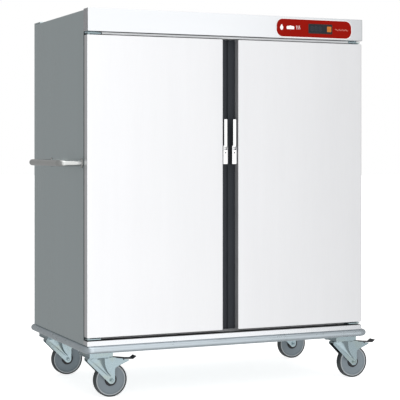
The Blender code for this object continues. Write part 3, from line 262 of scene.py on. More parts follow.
def bent(points, radius, steps=8, closed=False):
    """A line through the points whose inner corners are arcs, each the spherical blend of its two radii."""
    points = np.array(points, float)
    inner = points if closed else points[1:-1]
    before = np.roll(points, 1, 0) if closed else points[:-2]
    after = np.roll(points, -1, 0) if closed else points[2:]
    back, ahead = before - inner, after - inner
    back /= np.linalg.norm(back, axis=1)[:, None]
    ahead /= np.linalg.norm(ahead, axis=1)[:, None]
    half = np.arccos(np.clip((back * ahead).sum(1), -1, 1)) / 2
    bisector = (back + ahead) / np.linalg.norm(back + ahead, axis=1)[:, None]
    centre = inner + bisector * (radius / np.sin(half))[:, None]
    start = inner + back * (radius / np.tan(half))[:, None] - centre
    end = inner + ahead * (radius / np.tan(half))[:, None] - centre
    sweep = (pi - 2 * half)[:, None, None]
    part = np.linspace(0, 1, steps + 1)[None, :, None]
    blend = start[:, None] * np.sin(sweep * (1 - part)) + end[:, None] * np.sin(sweep * part)
    curved = (centre[:, None] + blend / np.sin(sweep)).reshape(-1, 3)
    return curved if closed else np.vstack([points[:1], curved, points[-1:]])


def carried(path, profile, up, closed=False):
    """A flat profile carried along a path: its first value lies across the path, its second along up."""
    path, profile = np.asarray(path, float), np.asarray(profile, float)
    ahead = np.roll(path, -1, 0) - np.roll(path, 1, 0) if closed else np.gradient(path, axis=0)
    ahead /= np.linalg.norm(ahead, axis=1)[:, None]
    across = np.cross(ahead, up)
    across /= np.linalg.norm(across, axis=1)[:, None]
    lift = np.cross(across, ahead)
    points = path[:, None] + profile[None, :, :1] * across[:, None] + profile[None, :, 1:] * lift[:, None]
    return skin_rings(points, wrap=closed)


def circle(radius, sides):
    return arc((0, 0), radius, 0, 360 * (1 - 1 / sides), sides)


# ---------------------------------------------------------------- pieces


def mesh_of(name, shell):
    """A mesh of the shell, with its edge weights as the point attribute named edge."""
    data = bpy.data.meshes.new(name)
    faces = [face for block in shell.blocks for face in block.tolist()]
    data.from_pydata(shell.points.tolist(), [], faces)
    weights = data.attributes.new("edge", "FLOAT", "POINT")
    weights.data.foreach_set("value", shell.edge.astype(np.float32))
    return data


def combined(shell, other, operation):
    """The Boolean of two closed shells, read back as triangles."""
    pair = []
    for name, part in (("first", shell), ("second", other)):
        made = bpy.data.objects.new(name, mesh_of(name, part))
        bpy.context.scene.collection.objects.link(made)
        pair.append(made)
    change = pair[0].modifiers.new("combine", "BOOLEAN")
    change.operation, change.solver, change.object = operation, "MANIFOLD", pair[1]
    bpy.context.view_layer.update()
    evaluated = pair[0].evaluated_get(bpy.context.evaluated_depsgraph_get())
    result = evaluated.to_mesh()
    result.calc_loop_triangles()
    points = np.empty(len(result.vertices) * 3)
    result.vertices.foreach_get("co", points)
    triangles = np.empty(len(result.loop_triangles) * 3, np.int32)
    result.loop_triangles.foreach_get("vertices", triangles)
    weights = np.zeros(len(result.vertices))
    if "edge" in result.attributes:
        result.attributes["edge"].data.foreach_get("value", weights)
    evaluated.to_mesh_clear()
    for made in pair:
        data = made.data
        bpy.data.objects.remove(made)
        bpy.data.meshes.remove(data)
    if not len(triangles):
        raise RuntimeError("a Boolean left nothing")
    return Shell(points, [triangles.reshape(-1, 3)], weights)


def welded(shells):
    shells = list(shells)
    whole = shells[0]
    for other in shells[1:]:
        whole = combined(whole, other, "UNION")
    return whole


def cut(shell, *tools):
    for tool in tools:
        shell = combined(shell, tool, "DIFFERENCE")
    return shell


def add(name, shell, finish, body, stands_for=()):
    """Makes a piece of the shell, rides it on its body and hides the nodes it stands for."""
    if isinstance(shell, (list, tuple)):
        shell = joined(shell)
    data = mesh_of(name, shell)
    data.shade_smooth()
    data.set_sharp_from_angle(angle=SMOOTH_ANGLE)
    data.materials.append(finish)
    made = bpy.data.objects.new(name, data)
    bpy.context.scene.collection.objects.link(made)
    weighted = made.modifiers.new("normals", "WEIGHTED_NORMAL")
    weighted.keep_sharp = True
    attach(made, body)
    if stands_for:
        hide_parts(*stands_for)
    return made


def paint(finish, *nodes):
    """Gives frame nodes a finish in place of the one they came with."""
    for node in nodes:
        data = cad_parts[node].data
        data.materials.clear()
        data.materials.append(finish)


# ---------------------------------------------------------------- finishes


class Wire:
    """A shader value that adds a Math node for each sum, difference or product that it takes part in."""

    def __init__(self, finish, socket):
        self.finish, self.socket = finish, socket

    def worked(self, operation, first, second):
        return self.finish.node("ShaderNodeMath", {"operation": operation}, {0: first, 1: second})

    def __add__(self, other):
        return self.worked("ADD", self, other)

    def __sub__(self, other):
        return self.worked("SUBTRACT", self, other)

    def __rsub__(self, other):
        return self.worked("SUBTRACT", other, self)

    def __mul__(self, other):
        return self.worked("MULTIPLY", self, other)

    __radd__, __rmul__ = __add__, __mul__

    def between(self, low, high, start=0.0, end=1.0):
        """Turns the range from low to high smoothly into the range from start to end."""
        return self.finish.node(
            "ShaderNodeMapRange",
            {"interpolation_type": "SMOOTHSTEP"},
            {"Value": self, "From Min": low, "From Max": high, "To Min": start, "To Max": end},
        )


class Finish:
    """A node tree of a material or a world, filled by calls."""

    def __init__(self, tree):
        self.tree = tree
        tree.nodes.clear()

    def node(self, kind, settings=None, inputs=None, output=0):
        """Adds a node of a type, fills its settings and sockets, by value or link, and gives an output."""
        made = self.tree.nodes.new(kind)
        for name, value in (settings or {}).items():
            setattr(made, name, value)
        for name, value in (inputs or {}).items():
            if isinstance(value, Wire):
                self.tree.links.new(value.socket, made.inputs[name])
            else:
                made.inputs[name].default_value = value
        return Wire(self, made.outputs[output]) if len(made.outputs) else None

    def place(self):
        return self.node("ShaderNodeTexCoord", output="Object")

    def noise(self, scale, stretch=(1, 1, 1), detail=3.0, roughness=0.55):
        """Noise on the piece's own coordinates, finer along the axes with the larger stretch values."""
        mapped = self.node("ShaderNodeMapping", {}, {"Vector": self.place(), "Scale": stretch})
        inputs = {"Vector": mapped, "Scale": scale, "Detail": detail, "Roughness": roughness}
        return self.node("ShaderNodeTexNoise", {}, inputs)

    def edge(self):
        """The weight that the piece's own rounded edges carry, for the wear along them and, on brushed and
        polished metal, for a painted highlight.
        """
        return self.node("ShaderNodeAttribute", {"attribute_name": "edge"}, output="Fac")

    def mix(self, first, second, factor):
        return self.node("ShaderNodeMix", {"data_type": "RGBA"}, {0: factor, 6: first, 7: second}, 2)

    def bump(self, height, strength, distance):
        return self.node("ShaderNodeBump", {}, {"Height": height, "Strength": strength, "Distance": distance})


def shade(colour, share):
    """The colour made lighter or darker by a share, as red, green, blue and alpha."""
    return (*(min(max(value * share, 0.0), 1.0) for value in colour), 1.0)


def surface(name, maker, *values, **more):
    """A material with one Principled shader, whose sockets the maker works out from the values."""
    found = bpy.data.materials.get(name)
    if found:
        return found
    made = bpy.data.materials.new(name)
    made.use_nodes = True
    finish = Finish(made.node_tree)
    shader = finish.node("ShaderNodeBsdfPrincipled", {}, maker(finish, *values, **more))
    finish.node("ShaderNodeOutputMaterial", {}, {"Surface": shader})
    return made


def brushed(finish, colour, roughness, along, wave):
    """Brushed sheet: fine lines along one axis, soft clouds from handling, a slight wave, and folds painted
    brighter as a painted highlight.
    """
    stretch = [1.0 if axis == along else 60.0 for axis in "XYZ"]
    lines = finish.noise(16.0, stretch, 4.0, 0.7)
    bands = finish.noise(2.6, [0.4 if axis == along else 6.0 for axis in "XYZ"], 2.0)
    clouds = finish.noise(2.1, (1, 1, 1), 5.0, 0.6)
    sway = finish.noise(1.3, (1, 1, 1), 1.0, 0.4)
    edge = finish.edge()
    tone = lines * 0.45 + clouds * 0.35 + bands * 0.2
    grained = finish.mix(shade(colour, 0.90), shade(colour, 1.10), tone)
    return {
        # Folds painted part of the way to a brighter steel: a painted highlight along the sheet's edges.
        "Base Color": finish.mix(grained, shade(colour, 1.28), edge * 0.25),
        "Metallic": 1.0,
        "Roughness": (lines - 0.5) * 0.16 + (clouds - 0.5) * 0.14 + roughness - edge * 0.05,
        "Normal": finish.bump(lines * 0.012 + sway * wave, 0.35, 0.02),
    }


def polished(finish, colour, roughness):
    """Polished plating: nearly a mirror, with faint polishing lines, handling marks and edges painted
    brighter as a painted highlight.
    """
    marks = finish.noise(38.0, (1, 1, 1), 5.0, 0.65)
    haze = finish.noise(9.0, (1, 1, 1), 3.0)
    edge = finish.edge()
    tinted = finish.mix(shade(colour, 0.94), shade(colour, 1.05), haze)
    return {
        # Rounded edges painted brighter: a painted highlight.
        "Base Color": finish.mix(tinted, shade(colour, 1.2), edge * 0.2),
        "Metallic": 1.0,
        "Roughness": marks.between(0.35, 0.75, roughness * 0.7, roughness * 1.6) + haze * 0.03,
        "Normal": finish.bump(marks, 0.03, 0.002),
    }


def plated(finish, colour, roughness):
    """Bright zinc plating: a spangle of slightly different crystals, bluish and straw tints, rubbed edges."""
    inputs = {"Vector": finish.place(), "Scale": 210.0, "Randomness": 1.0}
    cells = finish.node("ShaderNodeTexVoronoi", {}, inputs, "Color")
    spangle = finish.node("ShaderNodeSeparateColor", {}, {"Color": cells})
    tint = finish.noise(17.0, (1, 1, 1), 3.0)
    cool, straw = shade(colour, 1.0), shade((colour[0] * 1.08, colour[1] * 1.02, colour[2] * 0.90), 1.0)
    tinted = finish.mix(cool, straw, tint.between(0.45, 0.75))
    worn = finish.mix(tinted, shade(colour, 1.25), finish.edge() * 0.35)
    return {
        "Base Color": finish.mix(worn, shade(colour, 0.84), spangle * 0.25),
        "Metallic": 1.0,
        "Roughness": spangle * 0.05 + tint * 0.08 + (roughness - 0.06),
        "Normal": finish.bump(spangle * 0.3 + tint, 0.03, 0.001),
    }


def coated(finish, colour, roughness, texture=260.0, metallic=0.0, wear=0.3, gloss=0.35):
    """Powder coat or moulded plastic: fine orange peel, uneven gloss, dust in the broad tone, paler edges."""
    peel = finish.noise(texture, (1, 1, 1), 3.0, 0.5)
    tone = finish.noise(6.0, (1, 1, 1), 4.0, 0.6)
    base = finish.mix(shade(colour, 0.86), shade(colour, 1.14), tone)
    pale = tuple(value * 0.75 + 0.22 for value in colour)
    return {
        "Base Color": finish.mix(base, (*pale, 1.0), finish.edge() * wear),
        "Metallic": metallic,
        "Roughness": (tone - 0.5) * 0.16 + (peel - 0.5) * 0.10 + roughness,
        "Specular IOR Level": gloss,
        "Normal": finish.bump(peel, 0.08, 0.0008),
    }


def frame_coat_with_painted_shade(finish, colour, roughness, dark, height):
    """Moulded frame whose head, above a height, is pale and whose stiles and foot are painted dark, as
    painted shade in the gaps round the doors.
    """
    values = coated(finish, colour, roughness, wear=0.1)
    # The colour below the height is painted shade, not a colour of the frame.
    low = coated(finish, dark, roughness, wear=0.1)["Base Color"]
    level = finish.node("ShaderNodeSeparateXYZ", {}, {"Vector": finish.place()}, "Z")
    values["Base Color"] = finish.mix(low, values["Base Color"], level.between(height - 0.004, height))
    return values


def rubber(finish, colour, roughness):
    """Matt rubber: dusty bloom in patches, a fine pebble and scuffed edges."""
    pebble = finish.noise(420.0, (1, 1, 1), 2.0)
    bloom = finish.noise(22.0, (1, 1, 1), 5.0, 0.7)
    dusty = tuple(value * 0.6 + 0.10 for value in colour)
    base = finish.mix(shade(colour, 1.0), (*dusty, 1.0), bloom.between(0.45, 0.8) * 0.6)
    return {
        "Base Color": finish.mix(base, (*dusty, 1.0), finish.edge() * 0.4),
        "Roughness": bloom * 0.15 + (roughness - 0.07),
        "Normal": finish.bump(pebble, 0.15, 0.0006),
    }


def printed(finish, colour, roughness):
    """Printed film on sheet: an even ink with a fine emboss, under a clear satin layer."""
    emboss = finish.noise(600.0, (1, 1, 1), 2.0)
    tone = finish.noise(11.0, (1, 1, 1), 3.0)
    return {
        "Base Color": finish.mix(shade(colour, 0.90), shade(colour, 1.10), tone),
        "Roughness": (tone - 0.5) * 0.12 + roughness,
        "Specular IOR Level": 0.05,
        "Normal": finish.bump(emboss, 0.06, 0.0004),
    }


def foam(finish, colour, roughness):
    """Cut rigid foam: open cells and a warm, uneven tone."""
    cells = finish.node("ShaderNodeTexVoronoi", {}, {"Vector": finish.place(), "Scale": 340.0}, "Distance")
    tone = finish.noise(12.0, (1, 1, 1), 4.0)
    return {
        "Base Color": finish.mix(shade(colour, 0.82), shade(colour, 1.08), tone),
        "Roughness": tone * 0.1 + roughness,
        "Normal": finish.bump(cells, 0.4, 0.0015),
    }


def finish_of(name):
    """Each finish by its name, made once, in the colours that the settings hold."""
    colours = bpy.context.scene.cabinet_colours
    steel, side, black = colours.steel, colours.side_steel, (0.020, 0.021, 0.022)
    finishes = {
        "door_steel": (brushed, steel, 0.36, {"along": "Z", "wave": 0.30}),
        "header_steel": (brushed, colours.header_steel, 0.12, {"along": "X", "wave": 0.15}),
        "side_steel": (brushed, side, 0.30, {"along": "Z", "wave": 0.30}),
        "top_steel": (brushed, side, 0.36, {"along": "X", "wave": 0.30}),
        "liner_steel": (brushed, steel, 0.34, {"along": "Z", "wave": 0.2}),
        "rack_steel": (brushed, steel, 0.30, {"along": "Y", "wave": 0.1}),
        "aluminium": (brushed, (0.60, 0.61, 0.62), 0.42, {"along": "Y", "wave": 0.0}),
        "heater": (brushed, (0.30, 0.25, 0.20), 0.45, {"along": "X", "wave": 0.0}),
        "tube_steel": (polished, colours.tube_steel, 0.16, {}),
        "chrome": (polished, colours.chrome, 0.07, {}),
        "zinc": (plated, colours.zinc, 0.26, {}),
        "bumper": (coated, colours.bumper, 0.30, {"texture": 90.0, "metallic": 0.85, "wear": 0.0}),
        "strip": (coated, colours.strip, 0.46, {"texture": 500.0, "wear": 0.12, "gloss": 0.12}),
        # Dark grey trim: painted shade on the header's ends and on the doors' meeting edges.
        "edge_trim": (coated, (0.25, 0.252, 0.262), 0.5, {"texture": 500.0, "wear": 0.1, "gloss": 0.1}),
        "display": (coated, colours.display, 0.34, {"texture": 900.0, "wear": 0.03, "gloss": 0.08}),
        "segment": (coated, (0.060, 0.064, 0.074), 0.26, {"texture": 900.0, "wear": 0.0, "gloss": 0.1}),
        "key": (coated, colours.key, 0.42, {"texture": 500.0, "wear": 0.25}),
        "wheel_disc": (coated, colours.wheel, 0.52, {"texture": 320.0, "wear": 0.35}),
        "wheel_ring": (coated, (0.42, 0.45, 0.47), 0.45, {}),
        "rail_coat": (coated, (0.60, 0.61, 0.62), 0.40, {"wear": 0.1}),
        "door_liner": (coated, (0.66, 0.67, 0.68), 0.40, {"wear": 0.10}),
        "bezel": (coated, (0.012, 0.012, 0.013), 0.40, {"wear": 0.15}),
        "black_plastic": (coated, (0.015, 0.016, 0.018), 0.45, {"wear": 0.2}),
        "black_steel": (coated, (0.022, 0.023, 0.026), 0.48, {"metallic": 0.2}),
        # The door frame, painted dark below its head as painted shade in the gaps round the doors.
        "frame_plastic": (frame_coat_with_painted_shade, (0.62, 0.63, 0.64), 0.45, {"dark": black, "height": FRAME_SHADE_TOP}),
        "label": (printed, colours.label, 0.38, {}),
        "label_ink": (printed, (0.86, 0.82, 0.80), 0.42, {}),
        "soft_ink": (printed, (0.80, 0.42, 0.36), 0.42, {}),
        "gasket": (rubber, (0.040, 0.042, 0.045), 0.72, {}),
        "tyre": (rubber, (0.035, 0.042, 0.045), 0.68, {}),
        "foam": (foam, (0.78, 0.72, 0.55), 0.85, {}),
    }
    maker, colour, roughness, more = finishes[name]
    return surface(name, maker, colour, roughness, **more)


# ---------------------------------------------------------------- settings


def length(name, description, default, **limits):
    """A length in metres that a user may change."""
    return FloatProperty(
        name=name, description=description, default=default, min=0.0, unit="LENGTH", subtype="DISTANCE",
        precision=4, **limits
    )


def tone(name, description, default):
    """A colour that a user may change, in linear red, green and blue."""
    return FloatVectorProperty(
        name=name, description=description, default=default, size=3, min=0.0, max=1.0, subtype="COLOR"
    )


def brightness(name, description, default):
    """A strength of the studio's light, where 1 is plain white."""
    return FloatProperty(name=name, description=description, default=default, min=0.0)


class CabinetColours(bpy.types.PropertyGroup):
    """Colours of the finishes."""

    steel: tone("Door steel", "Brushed steel of the doors, the header and the lining", (0.835, 0.84, 0.855))
    header_steel: tone("Header steel", "Brushed steel of the header and the sill", (0.705, 0.72, 0.74))
    side_steel: tone("Side steel", "Brushed steel of the sides, top and back", (0.565, 0.640, 0.655))
    tube_steel: tone("Handle tube", "Polished tube of the push handle", (0.56, 0.57, 0.56))
    chrome: tone("Chrome", "Plating of the door handles", (0.90, 0.90, 0.91))
    zinc: tone("Zinc plate", "Plating of the castors and hinges", (0.36, 0.45, 0.485))
    bumper: tone("Bumper", "Tube round the foot of the cabinet", (0.50, 0.56, 0.60))
    strip: tone("Meeting strip", "Dark profile between the doors", (0.034, 0.038, 0.044))
    label: tone("Label", "Ground colour of the control label", (0.245, 0.0045, 0.0012))
    display: tone("Display", "Dark window of the controller", (0.021, 0.024, 0.029))
    key: tone("Key", "Orange key of the controller", (0.46, 0.15, 0.015))
    wheel: tone("Wheel disc", "Grey body of the castor wheels", (0.190, 0.225, 0.250))


class CabinetSizes(bpy.types.PropertyGroup):
    """Sizes of the finished surfaces that the frame leaves open."""

    sheet: length("Sheet", "Thickness of the outer sheet", 0.0015)
    fold: length("Fold radius", "Outer radius of a folded sheet edge", 0.0026)
    corner: length("Corner radius", "Radius of a door's corners", 0.0045)
    label_border: length("Label border", "Width of the pale line round the label", 0.0022)
    icon_height: length("Symbol height", "Height of the printed symbols", 0.0300)
    tread: length("Tread depth", "Thickness of the tyre on its disc", 0.0075)
    ring: length("Ring width", "Width of the pale ring inside the tyre", 0.0050)
    groove: length("Groove", "Depth of the grooves in the meeting strip", 0.0006)
    turns: IntProperty(name="Facets", description="Facets round a turned piece", default=64, min=12, max=128)


class CabinetStage(bpy.types.PropertyGroup):
    """Camera and light."""

    lens: FloatProperty(
        name="Lens", description="Focal length in millimetres", default=116.5, min=20.0, max=300.0
    )
    heading: FloatProperty(
        name="Heading", description="Turn of the level camera away from the doors' normal",
        default=radians(23.64), unit="ROTATION", subtype="ANGLE",
    )
    place: FloatVectorProperty(
        name="Camera place", description="Where the camera stands", default=(-2.6365, -6.074, 1.169),
        size=3, unit="LENGTH", subtype="TRANSLATION",
    )
    rise: FloatProperty(
        name="Lens shift", description="Upward shift of the level lens, in frame widths", default=-0.1295
    )
    front_light: brightness("Front light", "Brightness in front of the doors", 1.37)
    strip_light: brightness("Strip light", "Extra bright patch straight ahead", 0.6)
    side_light: brightness("Side light", "Brightness at both sides", 0.50)
    back_light: brightness("Back light", "Brightness behind the cabinet", 0.38)
    floor_tone: tone("Floor", "Plain pale floor", (0.90, 0.90, 0.90))


# ---------------------------------------------------------------- body


def side_outline(node, axis):
    """The rectangle that a node covers across an axis, as low and high pairs."""
    low, high = corners(node)
    first, second, _ = ACROSS[axis]
    return (low[first], low[second]), (high[first], high[second])


class CABINET_OT_skins(bpy.types.Operator):
    """Makes the folded side, top and back sheets"""

    bl_idname = "cabinet.skins"
    bl_label = "Outer skins"

    def execute(self, context):
        sizes = context.scene.cabinet_sizes
        steel = finish_of("side_steel")
        for name, side in SIDES:
            node = f"{name}_side_panel"
            low, high = corners(node)
            face, rim = (low[0], high[0]) if side < 0 else (high[0], low[0])
            outline = rect(*side_outline(node, "X"), sizes.corner)
            shell = tray(outline, face, rim, "X", sizes.sheet, sizes.fold)
            add(f"{name}_side_sheet", shell, steel, "cabinet", [node])

        low, high = corners("top_panel")
        outline = rect(*side_outline("top_panel", "Z"), sizes.corner)
        shell = tray(outline, high[2], low[2], "Z", sizes.sheet, sizes.fold)
        add("top_sheet", shell, finish_of("top_steel"), "cabinet", ["top_panel"])

        self.back(sizes, steel)
        return {"FINISHED"}

    def back(self, sizes, steel):
        """The back tray with the raised cap along its top, as an L outline drawn out across the cabinet."""
        low, high = corners("back_panel")
        top_low = corners("top_panel")[1][2] + HAIR
        inner = corners("left_side_panel")[1][1] + HAIR
        outline = [(inner, low[2]), (high[1], low[2]), (high[1], high[2]), (low[1], high[2])]
        outline += [(low[1], top_low), (inner, top_low)]
        shell = plate(outline, low[0], high[0], "X", sizes.fold * 0.6, 4)
        wall = sizes.sheet
        hollow_low = (low[0] + wall, inner - wall, low[2] + wall)
        hollow_high = (high[0] - wall, high[1] - wall, top_low - wall)
        shell = cut(shell, block(hollow_low, hollow_high, HAIR))
        add("back_sheet", shell, steel, "cabinet", ["back_panel"])

        heights = np.linspace(low[2] + 0.03, high[2] - 0.03, 7)
        places = [(x, high[1], z) for x in (low[0] + 0.0125, high[0] - 0.0125) for z in heights]
        places += [(x, high[1], heights[end]) for x in np.linspace(-0.5, 0.5, 5) for end in (0, -1)]
        screws = joined(screw_head(place, "Y", 1, 0.0042, 0.0016) for place in places)
        add("back_screws", screws, finish_of("zinc"), "cabinet")


def screw_head(place, axis, way, radius, height):
    """A pan head with a cross recess: a low dome carried round the axis, less two crossed slots."""
    turn = np.linspace(0, pi / 2, 5)
    dome = [(radius, 0.0), *zip(radius * (0.55 + 0.45 * np.cos(turn)), height * np.sin(turn))]
    shell = lathe([(r, way * h) for r, h in dome], (0, 0, 0), axis, 20)
    one, two, along = ACROSS[axis]
    slots = []
    for first, second in ((0.55, 0.14), (0.14, 0.55)):
        low, high = np.zeros(3), np.zeros(3)
        span = np.array((first, second)) * radius
        low[[one, two]], high[[one, two]] = -span, span
        low[along], high[along] = sorted((way * height * 0.35, way * height * 1.5))
        slots.append(block(low, high, radius * 0.02, axis=axis, steps=1))
    return cut(shell, *slots).moved(place)


class CABINET_OT_front(bpy.types.Operator):
    """Makes the header, the sill and the frame that the doors close on"""

    bl_idname = "cabinet.front"
    bl_label = "Header, sill and door frame"

    def execute(self, context):
        sizes = context.scene.cabinet_sizes
        steel = finish_of("header_steel")
        low, high = corners("header_fascia")
        outline = rect(*side_outline("header_fascia", "Y"), sizes.corner)
        shell = tray(outline, low[1], high[1], "Y", sizes.sheet, sizes.fold)
        pane_low, pane_high = corners("controller")
        window_low = (pane_low[0] + PANE_RIM - HAIR, low[1] - 0.002, pane_low[2] + PANE_RIM - HAIR)
        window_high = (pane_high[0] - PANE_RIM + HAIR, low[1] + 0.004, pane_high[2] - PANE_RIM + HAIR)
        shell = cut(shell, block(window_low, window_high, 0.0002, axis="Y", steps=1))
        add("header_sheet", shell, steel, "cabinet", ["header_fascia"])

        low, high = corners("sill_panel")
        outline = rect(*side_outline("sill_panel", "Y"), sizes.corner)
        shell = tray(outline, low[1], high[1], "Y", sizes.sheet, sizes.fold)
        add("sill_sheet", shell, steel, "cabinet", ["sill_panel"])

        # The frame's finish paints it dark below its head: painted shade in the door gaps.
        paint(finish_of("frame_plastic"), "front_frame")
        self.shade_strips_and_rail()
        return {"FINISHED"}

    def shade_strips_and_rail(self):
        """Dark strips that line the gaps round the doors and dark caps on the header's ends, both painted
        shade, and the rail under it.
        """
        black, shade_pieces = finish_of("gasket"), []
        # Gasket-black strips on the side panels' fronts, and below on the sill's top: painted shade in the
        # door gaps.
        for name, _ in SIDES:
            low, high = corners(f"{name}_side_panel")
            box_low = (low[0] + 0.0008, low[1] - 0.0004, low[2] + 0.004)
            box_high = (high[0] - 0.0008, low[1] + 0.0006, corners("front_frame")[1][2])
            shade_pieces.append(block(box_low, box_high, 0.0002, axis="Y", steps=1))
        low, high = corners("sill_panel")
        box_low = (low[0] + 0.002, low[1] + 0.003, high[2] - 0.0006)
        box_high = (high[0] - 0.002, high[1] - 0.002, high[2] + 0.0004)
        shade_pieces.append(block(box_low, box_high, 0.0002, axis="Z", steps=1))
        add("gap_shade_strips", joined(shade_pieces), black, "cabinet")

        # Dark grey caps on the header's ends: painted shade where the ends would lie in shadow.
        end_shade_caps = []
        low, high = corners("header_fascia")
        for edge, way in ((low[0], -1), (high[0], 1)):
            x0, x1 = sorted((edge + way * 0.0002, edge - way * 0.0008))
            cap_low, cap_high = (x0, low[1] + 0.003, low[2] + 0.003), (x1, high[1] - 0.001, high[2] - 0.003)
            end_shade_caps.append(block(cap_low, cap_high, 0.0002, 0.002, "X", 2))
        add("header_shade_ends", joined(end_shade_caps), finish_of("edge_trim"), "cabinet")

        left = corners("left_upper_hinge_plate")[1][0] + 0.004
        right = 2 * middle("header_fascia")[0] - left
        foot = corners("left_door_skin")[1][2] + 0.0035
        rail_low, rail_high = (left, low[1] + 0.014, foot), (right, low[1] + 0.024, low[2] - 0.0022)
        rail = block(rail_low, rail_high, 0.0008, axis="X", steps=2)
        add("header_rail", rail, finish_of("rail_coat"), "cabinet")


class CABINET_OT_inside(bpy.types.Operator):
    """Finishes the lining, racks, air path, heater and pan"""

    bl_idname = "cabinet.inside"
    bl_label = "Inside"

    def execute(self, context):
        paint(finish_of("liner_steel"), "liner", "air_baffle")
        paint(finish_of("rack_steel"), "left_rack", "centre_rack", "right_rack", "water_pan")
        paint(finish_of("foam"), "insulation")
        paint(finish_of("black_steel"), "left_fan_motor", "right_fan_motor")
        paint(finish_of("zinc"), "chassis")
        paint(finish_of("aluminium"), "left_fan", "right_fan")
        paint(finish_of("zinc"), *(f"{s}_{e}_hinge_plate" for s, _ in SIDES for e in ("upper", "lower")))
        self.heater()
        return {"FINISHED"}

    def heater(self):
        """A round element carried along the same zigzag as its node, with its bends as arcs."""
        low, high = corners("heating_element")
        radius = (high[1] - low[1]) / 2
        y = (low[1] + high[1]) / 2
        levels = np.linspace(low[2] + radius, high[2] - radius, 4)
        left, right, inner = low[0] + radius, high[0], high[0] - radius
        ends = [(right, 0), (left, 0), (left, 1), (inner, 1), (inner, 2), (left, 2), (left, 3), (inner, 3)]
        path = bent([(x, y, levels[level]) for x, level in ends], 0.030, 10)
        shell = carried(path, circle(radius, 16), (0, 1, 0))
        add("heater_tube", shell, finish_of("heater"), "cabinet", ["heating_element"])


class CABINET_OT_bumper(bpy.types.Operator):
    """Makes the tube round the foot of the cabinet"""

    bl_idname = "cabinet.bumper"
    bl_label = "Bumper"

    def execute(self, context):
        low, high = corners("bumper_rail")
        radius = (high[2] - low[2]) / 2
        z = (low[2] + high[2]) / 2
        x0, x1, y0, y1 = low[0] + radius, high[0] - radius, low[1] + radius, high[1] - radius
        path = bent([(x0, y0, z), (x1, y0, z), (x1, y1, z), (x0, y1, z)], 0.032, 12, closed=True)
        shell = carried(path, circle(radius, 32), (0, 0, 1), closed=True)
        add("bumper_tube", shell, finish_of("bumper"), "cabinet", ["bumper_rail"])
        return {"FINISHED"}


class CABINET_OT_push_handle(bpy.types.Operator):
    """Makes the push handle on the left side, with its flanges and weld beads"""

    bl_idname = "cabinet.push_handle"
    bl_label = "Push handle"

    def execute(self, context):
        low, high = corners("push_handle")
        wall = corners("left_side_panel")[0][0]
        radius = 0.015
        z = (low[2] + high[2]) / 2
        reach = low[0] + radius
        flange = (high[2] - low[2]) / 2
        y0, y1 = low[1] + flange, high[1] - flange
        start = wall - 2 * HAIR
        path = bent([(start, y0, z), (reach, y0, z), (reach, y1, z), (start, y1, z)], 0.026, 14)
        tube = carried(path, circle(radius, 40), (0, 0, 1))
        parts = [tube]
        core, thick, foot, weld = 0.001, 0.004, 0.0035, 0.0025
        disc = [(core, 0), (flange - 0.0008, 0), (flange, 0.0008), (flange, 0.0028)]
        disc += [(flange - 0.0012, thick), (core, thick)]
        turn = np.linspace(0, pi / 2, 5)
        bead = [(radius - core, foot), *zip(radius + 0.0022 * np.cos(turn), foot + weld * np.sin(turn))]
        bead += [(radius - core, foot + weld)]
        for y in (y0, y1):
            parts.append(lathe(np.array(disc) * (1, -1), (start, y, z), "X", 48))
            parts.append(lathe(np.array(bead) * (1, -1), (start, y, z), "X", 48, ring=True))
        add("push_tube", welded(parts), finish_of("tube_steel"), "cabinet", ["push_handle"])
        return {"FINISHED"}


# ---------------------------------------------------------------- doors


